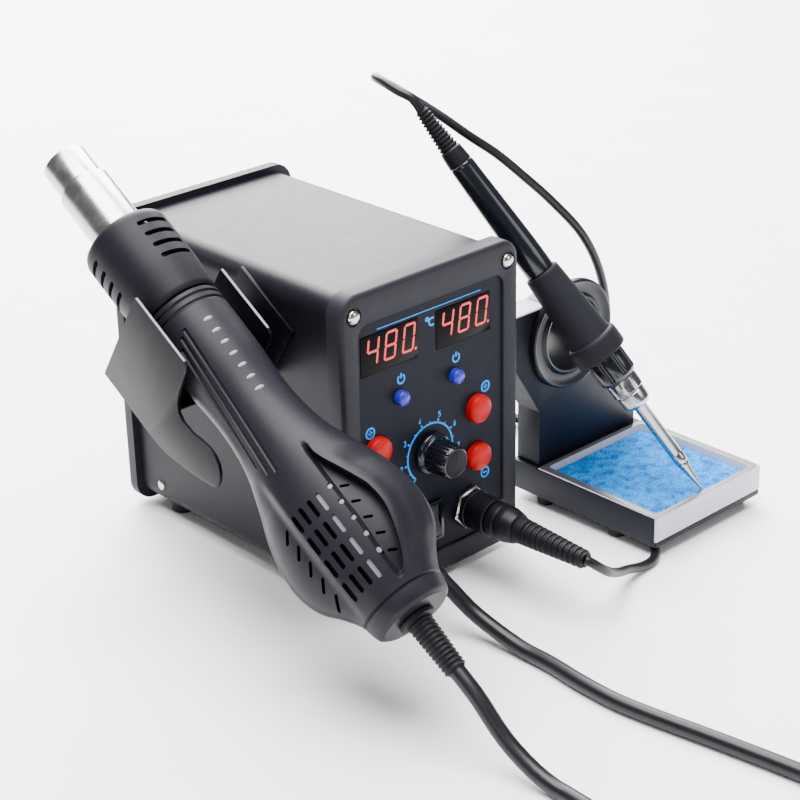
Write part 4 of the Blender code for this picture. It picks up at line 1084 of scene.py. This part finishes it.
HANDLE_SECTIONS = (
    (96.8, 19.3, 19.3),
    (100.0, 19.3, 19.3),
    (131.0, 19.0, 18.4),
    (148.0, 18.0, 17.6),
    (163.0, 18.3, 17.8),
    (178.0, 20.6, 18.8),
    (193.0, 25.4, 20.4),
    (207.0, 30.6, 22.2),
    (220.0, 33.6, 23.4),
    (233.0, 34.2, 23.6),
    (245.0, 31.0, 23.0),
    (254.0, 24.5, 21.6),
    (261.0, 20.4, 20.0),
    (268.0, 18.8, 18.8),
    (TAIL, 17.4, 17.4),
)
GRIP_GROOVES = (((112, -2.2), (190, -8.0)), ((114, -5.4), (188, -11.6)), ((118, -8.6), (182, -14.6)))
SLOT_ROW = 214.6
SLOT_PITCH = 12.0
NOTCH_ROW = 210.9
NOTCH_PITCH = 8.7
RECESS_OUTER = ((186, 7.4), (197, 10.2), (205, 13.4), (213, 16.6), (220, 18.9), (231, 19.4))
RECESS_OUTER += ((244, 15.9), (253, 11.8))
RECESS_OUTER += ((259, 7.6), (262, 6.0))


def between(table, at, column=1):
    """A smooth value from a table of (place, value, ...) rows."""
    if at <= table[0][0]:
        return table[0][column]
    for i in range(len(table) - 1):
        if at <= table[i + 1][0]:
            low, high = table[i], table[i + 1]
            span = high[0] - low[0]
            before, after = table[max(i - 1, 0)], table[min(i + 2, len(table) - 1)]
            slope_low = (high[column] - before[column]) / (high[0] - before[0])
            slope_high = (after[column] - low[column]) / (after[0] - low[0])
            u = (at - low[0]) / span
            value = (2 * u**3 - 3 * u**2 + 1) * low[column] + (u**3 - 2 * u**2 + u) * span * slope_low
            return value + (3 * u**2 - 2 * u**3) * high[column] + (u**3 - u**2) * span * slope_high
    return table[-1][column]


def handle_face(x, t, side):
    """How far the shell stands out from its middle plane. side is 1 on the face, -1 on the back."""
    width, depth = between(HANDLE_SECTIONS, t, 1), between(HANDLE_SECTIONS, t, 2)
    height = depth * math.sqrt(max(0.0, 1 - (x / width) ** 2))
    bulge = smooth_step(184, 200, t) * (1 - smooth_step(256, 264, t))
    lobe = smooth_step(15.0, 18.5, -x if side > 0 else abs(x)) * bulge
    height -= 3.2 * lobe * smooth_step(0.0, 8.0, height)
    if side > 0:
        inner, outer = recess_edges(t)
        inside = smooth_step(inner - 0.4, inner + 1.0, x) * (1 - smooth_step(outer - 0.7, outer + 0.7, x))
        inside *= smooth_step(186, 196, t) * (1 - smooth_step(256, 260, t))
        height -= 6.5 * inside
        fall = smooth_step(outer + 2.6, outer + 7.0, x)
        fall = fall * smooth_step(196, 208, t) * (1 - smooth_step(250, 262, t))
        height -= 2.4 * fall * smooth_step(0.0, 8.0, height)
    return max(height, 0.0)


def recess_edges(t):
    """Where the hollow beside the gun's spine starts and ends across the face."""
    inner = 7.2 - 1.4 * smooth_step(225, 255, t)
    return inner, max(between(RECESS_OUTER, t), inner + 1.9)


def handle_columns(t, width):
    """Angles around the face from left to right, with columns that follow the hollow's two walls."""
    inner, outer = recess_edges(t)
    stops = [-width, inner - 0.5, inner + 1.0, outer - 0.7, outer + 0.7, width]
    angles = []
    for i, count in enumerate((46, 4, 14, 4, 20)):
        start, end = (math.asin(stop / width) for stop in stops[i : i + 2])
        angles += [start + (end - start) * k / count for k in range(count)]
    return angles


def handle_shape():
    rings = []
    t = 96.8
    while t < TAIL - 0.01:
        width = between(HANDLE_SECTIONS, t)
        groove = sum(0.7 * max(0.0, 1 - ((t - at) / 0.8) ** 2) for at in (100.4, 104.2))
        groove += 0.9 * max(0.0, 1 - ((t - 263.4) / 0.7) ** 2)
        groove += 1.3 * (1 - smooth_step(96.8, 98.0, t)) + 1.6 * smooth_step(270.2, TAIL, t)
        shrink = 1 - groove / width
        columns = handle_columns(t, width)
        ring = []
        for side in (1, -1):
            for angle in columns:
                x = width * math.sin(angle) * side
                ring.append((x * shrink, side * handle_face(x, t, side) * shrink, t))
        rings.append(ring)
        t += 0.4 if t < 106 or t > 261 else 1.0
    return loft(rings)


def slot_tool(x, t, length, width, lean=0.0, low=8.0):
    """A cutter for a round-ended slot in the gun's face, leaning from the gun's axis by an angle."""
    outline = arc((0, length / 2 - width / 2), width / 2, 0, 180, 6)
    outline += arc((0, -length / 2 + width / 2), width / 2, 180, 360, 6)
    tool = prism(outline, low, 30, "xz")
    return moved(tool, Matrix.Translation((x, 0, t)) @ Matrix.Rotation(lean, 4, "Y"))


def gun_handle():
    tools = []
    for (start, low), (end, high) in GRIP_GROOVES:
        route = []
        for k in range(25):
            x, t = low + (high - low) * k / 24, start + (end - start) * k / 24
            route.append(Vector((x, handle_face(x, t, 1) + 0.35, t)))
        tools.append(tube(route, 1.25))
    for i in range(4):
        middle = SLOT_ROW + SLOT_PITCH * i
        for x, length in ((0.1, 9.2), (-4.6, 9.0), (-9.4, 9.0), (-14.0, 9.0)):
            tools.append(slot_tool(x, middle + (0.6 if x < -12 else 0), length, 2.0, low=12.0))
    for i in range(5):
        t = NOTCH_ROW + NOTCH_PITCH * i
        tools.append(slot_tool(6.3, t, 2.6, 2.0, low=14.0))
        tools.append(slot_tool(10.9 - 0.5 * max(0, i - 3), t + 1.6, 4.2, 1.3, math.radians(62), low=9.0))
        tools.append(slot_tool(-21.4, t + 3.6, 6.6, 1.5, math.radians(-38), low=5.0))
        back = slot_tool(0, 0, 16.0 - 3.0 * abs(i - 2), 2.2, math.pi / 2, low=12.0)
        place = Matrix.Translation((0, 0, 212.0 + 8.0 * i))
        tools.append(moved(back, place @ Matrix.Rotation(math.pi, 4, "Z")))
    shape = cut(handle_shape(), *tools)
    piece(
        "gun_handle", shape, HANDLE, "hot_air_gun", ["handle_shell_left", "handle_shell_right"], GUN, 32
    )
    # A light grey sheet under the front slots and notches: a painted reflection on the slot floors.
    slot_highlights = []
    for i in range(4):
        slot_highlights.append(slot_tool(0.1, SLOT_ROW + SLOT_PITCH * i, 9.0, 1.9, low=0))
    slot_highlights += [slot_tool(6.3, NOTCH_ROW + NOTCH_PITCH * i, 2.5, 1.9, low=0) for i in range(5)]
    for shape in slot_highlights:
        for vertex in shape.verts:
            t = vertex.co.z
            across = vertex.co.x / between(HANDLE_SECTIONS, t)
            top = between(HANDLE_SECTIONS, t, 2) * math.sqrt(1 - across**2)
            vertex.co.y = top - (0.9 if vertex.co.y > 10 else 2.4)
    piece("gun_liner", merged(slot_highlights), HANDLE_HIGHLIGHT, "hot_air_gun", at=GUN)
    # The nubs take the light grey painted highlight.
    nubs = []
    for i in range(7):
        t = 114.3 + 6.65 * i
        x = 9.0 - 0.1 * i
        profile = [(0, -1.5), (1.0, -1.5), (1.0, -0.1), (0.92, 0.3), (0.6, 0.6), (0, 0.72)]
        nub = turned(profile, 24)
        bmesh.ops.scale(nub, vec=(2.7, 1.25, 1.0), verts=nub.verts)
        angle = math.atan2(x, between(HANDLE_SECTIONS, t, 2) * math.sqrt(1 - (x / 18.5) ** 2))
        turn = Matrix.Rotation(angle, 4, "Y")
        lift = between(HANDLE_SECTIONS, t, 2) - 0.45
        place = Matrix.Translation((0, 0, t)) @ Matrix.Rotation(-math.pi / 2, 4, "X") @ turn
        nubs.append(moved(nub, place @ Matrix.Translation((0, 0, lift))))
    piece("gun_nubs", merged(nubs), HANDLE_HIGHLIGHT, "hot_air_gun", at=GUN)


def gun_nozzle():
    tube_profile = [(10.0, 0.3), (10.3, 0), (10.7, 0), (11.0, 0.5), (11.0, 15.4), (11.2, 16.2)]
    tube_profile += [(12.4, 17.0)]
    tube_profile += [(12.7, 17.8), (12.7, 92), (11.9, 92), (11.9, 18.0), (10.2, 16.6), (10.0, 15.8)]
    piece("nozzle_barrel", turned(tube_profile, 72), TUBE_STEEL, "hot_air_gun", ["nozzle_tube"], GUN, 40)
    profile = [(13.3, 49.4), (13.6, 49.2), (17.0, 49.2), (18.6, 49.7), (20.2, 50.9), (20.9, 52.6)]
    profile += [(21.0, 54.0)]
    profile += [(21.0, 78.0), (20.9, 80.0), (19.9, 93.6), (19.6, 95.6), (19.0, 96.4), (17.4, 96.4)]
    profile += [(18.9, 78)]
    profile += [(18.9, 54), (13.3, 51.6)]
    slots = []
    for middle in (38, 158, 278):
        for i in range(4):
            outline = arc((7.4, 0), 1.2, -90, 90, 6) + arc((-7.4, 0), 1.2, 90, 270, 6)
            slot = prism([(a, b + 58.2 + 6.5 * i) for a, b in outline], 14, 26, "xz")
            slots.append(moved(slot, Matrix.Rotation(math.radians(middle - 90), 4, "Z")))
    guard = cut(turned(profile, 96), *slots)
    piece("gun_guard", guard, GUARD, "hot_air_gun", ["heat_guard"], GUN, 32)
    start = TAIL - 4
    boot = [(0, start), (6.2, start), (6.2, TAIL + 0.2), (8.4, TAIL + 0.2), (8.6, TAIL + 0.8)]
    boot += [(8.2, TAIL + 2.2)]
    boot += [(6.0, TAIL + 2.9)]
    boot += ribbed(TAIL + 3, TAIL + GUN_BOOT, 5.9, 5.1, 12, 0.8)
    boot += [(0, TAIL + GUN_BOOT)]
    piece("gun_tail_boot", turned(boot, 40), RUBBER, "hot_air_gun", ["gun_boot"], GUN, 40)


def cradle():
    near, far = 89.0, 130.0
    sheet = 1.6
    top = 12.5
    outline = [(near, top), (127.4, top), (129.6, 11.8), (130.6, 10.0), (130.8, 6.0), (131.2, 0.0)]
    outline += [(132.0, -5.6)]
    outline += [(133.4, -9.8), (136.0, -13.0), (140.0, -14.6), (147.0, -14.2), (153.0, -12.0)]
    outline += [(158.0, -10.8)]
    outline += [(162.6, -10.8), (166.6, -12.6), (169.4, -15.6), (171.0, -19.0), (171.2, -22.5)]
    outline += [(169.8, -25.0)]
    outline += [(166.6, -26.8), (154.6, -32.8), (140.3, -38.4), (133.4, -39.8), (126.1, -40.2)]
    outline += [(near, -40.2)]
    wall = prism(outline, 113.0, 113.0 + sheet, "zy")
    low = -22.3
    case_side = WIDTH / 2 - CASE_INSET + 0.3
    floor = box((case_side, 113.4), (low, low + sheet), (near, far))
    inner_outline = [(near, low + 0.3), (near, top), (far - 4.0, top), (far - 1.2, top - 1.2)]
    inner_outline += [(far, top - 4.0)]
    inner = prism(inner_outline + [(far, low + 0.3)], 67.0 - sheet, 67.0, "zy")
    flange = box((case_side, case_side + sheet), (low, 9), (near, far))
    shape = boolean(boolean(boolean(wall, floor, "UNION"), inner, "UNION"), flange, "UNION")
    bevelled(shape, 0.25, 2, 50)
    piece("cradle_sheet", shape, BLACK_PAINT, stands_for=["gun_cradle"], at=CRADLE, sharp=30)
    # Thin light grey strips on top of both walls: a painted highlight along the sheet's edges.
    edges = []
    for x in (113.0, 67.0 - sheet):
        end = 127.0 if x > 100 else 125.6
        strip = box((x + 0.2, x + sheet - 0.2), (top - 0.3, top + 0.04), (near + 0.4, end))
        edges.append(bevelled(strip, 0.03, 1))
    piece("cradle_edges", merged(edges), EDGE_HIGHLIGHT, at=CRADLE)


# ---------------------------------------------------------------- iron stand and iron


def stand():
    shape = box((89, 169.5), (-59, 36), (2.5, 18))
    hollow = box((91, 167.5), (-60, 17.6), (4.6, 20))
    places = ((96, 18), (96, -30), (163, 18), (163, -50))
    lip = box((89, 169.5), (-60.5, -58), (2.5, 5.6))
    base = bevelled(boolean(cut(shape, hollow), lip, "UNION"), 0.5, 3, 50)
    piece("stand_body", base, STAND, stands_for=["stand_base"], sharp=40)
    stubs = []
    for x, y in places:
        stub = turned([(0, TABLE), (4.3, TABLE), (4.9, TABLE + 0.7), (5, 2.7), (0, 2.7)], 32)
        stubs.append(moved(stub, Matrix.Translation((x, y, 0))))
    piece("stand_feet", merged(stubs), RUBBER)
    tub = box((91.3, 167.2), (-60.3, 17), (4.9, 19))
    rim = box((89, 169.5), (-60.5, 17.3), (18.3, 19))
    face = box((89, 169.5), (-60.5, -59.3), (5.7, 19))
    shape = boolean(boolean(tub, rim, "UNION"), face, "UNION")
    hollow = rounded(80.5 - 8.5, 77.5 - 5.5, 2.5, (129.25, -21.35), 6)
    shape = bevelled(cut(shape, prism(hollow, 6.2, 21, "xy")), 0.35, 3, 50)
    for side in shape.faces:
        middle = side.calc_center_median()
        if side.normal.z > 0.5 and middle.z > 18 and middle.x < 166:
            side.material_index = 1
    piece("tray_tub", shape, [TRAY_AND_TOP_HIGHLIGHT, RIM], stands_for=["sponge_tray"], sharp=40)


def sponge():
    """A crowned pad with an uneven, open-pored skin."""
    middle = Vector((129.25, -21.35))
    half = Vector((35.2, 35.1))
    steps = 110
    shape = bmesh.new()
    bmesh.ops.create_grid(shape, x_segments=steps, y_segments=steps, size=1)
    top = list(shape.verts)
    for vertex in top:
        u, v = vertex.co.x, vertex.co.y
        squeeze = 1 - 0.012 * (1 - u * u) - 0.012 * (1 - v * v)
        x, y = u * half.x, v * half.y
        edge = min(half.x - abs(x), half.y - abs(y))
        rounding = 1.5 * (1 - min(1.0, edge / 1.5)) ** 2
        here = Vector((x, y, 0))
        bumps = 0.28 * noise.noise(here * 0.16) + 0.22 * noise.noise(here * 0.55)
        pore = noise.noise(here * 1.1 + Vector((7, 3, 1)))
        bumps -= 0.55 * smooth_step(0.12, 0.5, pore)
        crown = 0.35 * (1 - u * u) * (1 - v * v)
        level = 16.7 + crown + bumps - rounding
        vertex.co = Vector((middle.x + x * squeeze, middle.y + y * squeeze, level))
    border = [edge for edge in shape.edges if edge.is_boundary]
    made = bmesh.ops.extrude_edge_only(shape, edges=border)["geom"]
    lower = [item for item in made if isinstance(item, bmesh.types.BMVert)]
    for vertex in lower:
        vertex.co.z = 6.7
    bmesh.ops.holes_fill(shape, edges=[edge for edge in shape.edges if edge.is_boundary], sides=0)
    pad = piece("sponge_pad", shape, SPONGE, stands_for=["cleaning_sponge"], sharp=60)


def upright():
    foot = 18.3
    outline = [(91.5, foot), (164.5, foot), (164.5, 26)]
    outline += arc((112, 86), 30.0, -14, 38, 20)
    outline += [(99.5, 104.5), (98.0, 104.5), (71.0, 104.5), (70.0, 103.5), (70.0, 84.0), (91.5, 48.6)]
    plate = prism(outline, 19.3, 21.1)
    top = box((70.0, 97.0), (19.7, 34.3), (102.7, 104.5))
    flank = [(91.5, foot), (93.3, foot), (93.3, 49.2), (72.0, 84.6), (70.4, 83.6), (91.5, 48.6)]
    side = prism(flank, 19.7, 34.3)
    sole = box((91.5, 164.5), (19.7, 34.3), (foot, foot + 1.8))
    shape = boolean(boolean(boolean(plate, top, "UNION"), side, "UNION"), sole, "UNION")
    shape = cut(shape, prism(circle((112, 86), 20.0, 64), 18, 23))
    piece("upright_plate", bevelled(shape, 0.3, 2, 50), STAND, stands_for=["stand_upright"], sharp=30)
    # A thin light grey plate on the upright's top: a painted highlight where the black top catches the overhead
    # light.
    top_highlight = bevelled(box((71.2, 96.4), (20.2, 33.8), (104.3, 104.62)), 0.12, 2)
    piece("upright_top_face", top_highlight, TRAY_AND_TOP_HIGHLIGHT)


def funnel():
    """A pressed dish with two raised rings and a tapering throat for the hot end."""
    face = -19.0
    profile = [(19.6, face), (28.2, face), (28.5, face + 0.4), (28.5, face + 2.2), (28.2, face + 3.0)]
    profile += [(27.3, face + 3.4), (26.2, face + 3.1), (25.2, face + 2.4), (23.0, face + 2.1)]
    profile += [(21.6, face + 2.2)]
    profile += [(20.8, face + 2.9), (19.8, face + 3.4), (18.9, face + 3.2), (18.2, face + 2.4)]
    profile += [(17.6, face - 2)]
    profile += [(12.6, face - 24), (13.4, face - 24.3), (14.4, face - 24), (19.4, face - 3)]
    piece("holder_dish", turned(profile, 96), FUNNEL, stands_for=["holder_funnel"], at=front(112, 86))


def iron():
    tip = [(0, 0), (0.45, 0.35), (0.75, 1.4), (2.3, 13.5), (2.9, 15.8), (3.0, 16.4), (3.0, 17.2)]
    tip += [(2.2, 17.2), (2.2, 52)]
    tip += [(0, 52)]
    piece("iron_bit", turned(tip, 48), IRON_STEEL, "soldering_iron", ["iron_tip"], IRON)
    barrel = [(2.5, 17.5), (3.2, 17.5), (3.4, 17.8), (3.4, 22.0), (3.25, 22.4), (3.25, 23.2)]
    barrel += [(3.4, 23.6)]
    barrel += [(3.4, 56.2), (3.6, 56.5), (5.2, 56.5), (5.2, 58.0), (2.5, 58.0)]
    piece("iron_tube", turned(barrel, 48), IRON_STEEL, "soldering_iron", ["iron_barrel"], IRON)
    nut = [(3.7, 54.0), (5.7, 54.0), (6.2, 54.5), (7.0, 55.6), (7.2, 56.2), (7.2, 61.4)]
    nut += [(6.9, 61.8), (6.9, 62.3)]
    nut += [(7.6, 62.7), (8.0, 63.1), (8.0, 69.8), (7.6, 70.4), (5.6, 70.4), (5.6, 56.2), (3.7, 56.2)]
    knurls = []
    for i in range(28):
        tool = box((7.75, 9), (-0.3, 0.3), (63.6, 69.4))
        knurls.append(moved(tool, Matrix.Rotation(2 * math.pi * i / 28, 4, "Z")))
    knurled = cut(turned(nut, 112), *knurls)
    piece("iron_collar_nut", knurled, IRON_STEEL, "soldering_iron", ["iron_nut"], IRON)
    finned = [(0, 58.3), (5.2, 58.3), (5.2, 70.7), (8.6, 70.7), (9.2, 71.2), (10.0, 73.0)]
    finned += [(10.0, 84.0), (9.8, 84.4)]
    finned += [(0, 84.4)]
    flutes = []
    for i in range(8):
        flute = turned([(0, 72.4), (1.7, 72.4), (1.7, 86), (0, 86)], 16)
        turn = Matrix.Rotation(2 * math.pi * i / 8, 4, "Z")
        flutes.append(moved(flute, turn @ Matrix.Translation((10.4, 0, 0))))
    finned = cut(turned(finned, 64), *flutes)
    piece("iron_collar", finned, GLOSS, "soldering_iron", ["iron_nipple"], IRON)
    grip = [(6.4, 84.7), (12.0, 84.7), (12.9, 85.2), (13.3, 86.2), (13.3, 93.4), (13.0, 94.6)]
    grip += [(12.2, 95.3)]
    grip += [(11.4, 95.6), (11.1, 96.4)]
    grip += [(9.0, 134.4), (8.8, 135.4), (8.3, 136.0), (6.4, 136.0)]
    piece("iron_grip_sleeve", turned(grip, 72), GRIP, "soldering_iron", ["iron_grip"], IRON)
    handle = [(0, 84.7), (6.1, 84.7), (6.1, 136.3), (7.2, 136.3), (7.4, 136.8), (7.4, 150)]
    handle += [(7.2, 160), (6.2, 199)]
    handle += [(6.1, 200.2), (5.7, 201), (0, 201)]
    piece("iron_shaft", turned(handle, 56), GLOSS, "soldering_iron", ["iron_handle"], IRON)
    boot = [(0, 201.3), (5.9, 201.3), (6.0, 201.7), (5.4, 209.4), (4.9, 210)]
    boot += ribbed(210.6, IRON_BOOT_END, 4.9, 3.4, 11, 0.7)
    boot += [(0, IRON_BOOT_END)]
    piece("iron_tail_boot", turned(boot, 36), RUBBER, "soldering_iron", ["iron_boot"], IRON)


# ---------------------------------------------------------------- the whole object

camera()
gun_cord()
iron_cord()
stage_and_light()
case()
front_bezel()
front_panel()
panel_print()
displays()
buttons()
knob()
power_switch()
iron_socket()
gun_gland()
feet()
rear()
inside()
gun_nozzle()
gun_handle()
cradle()
stand()
sponge()
upright()
funnel()
iron()
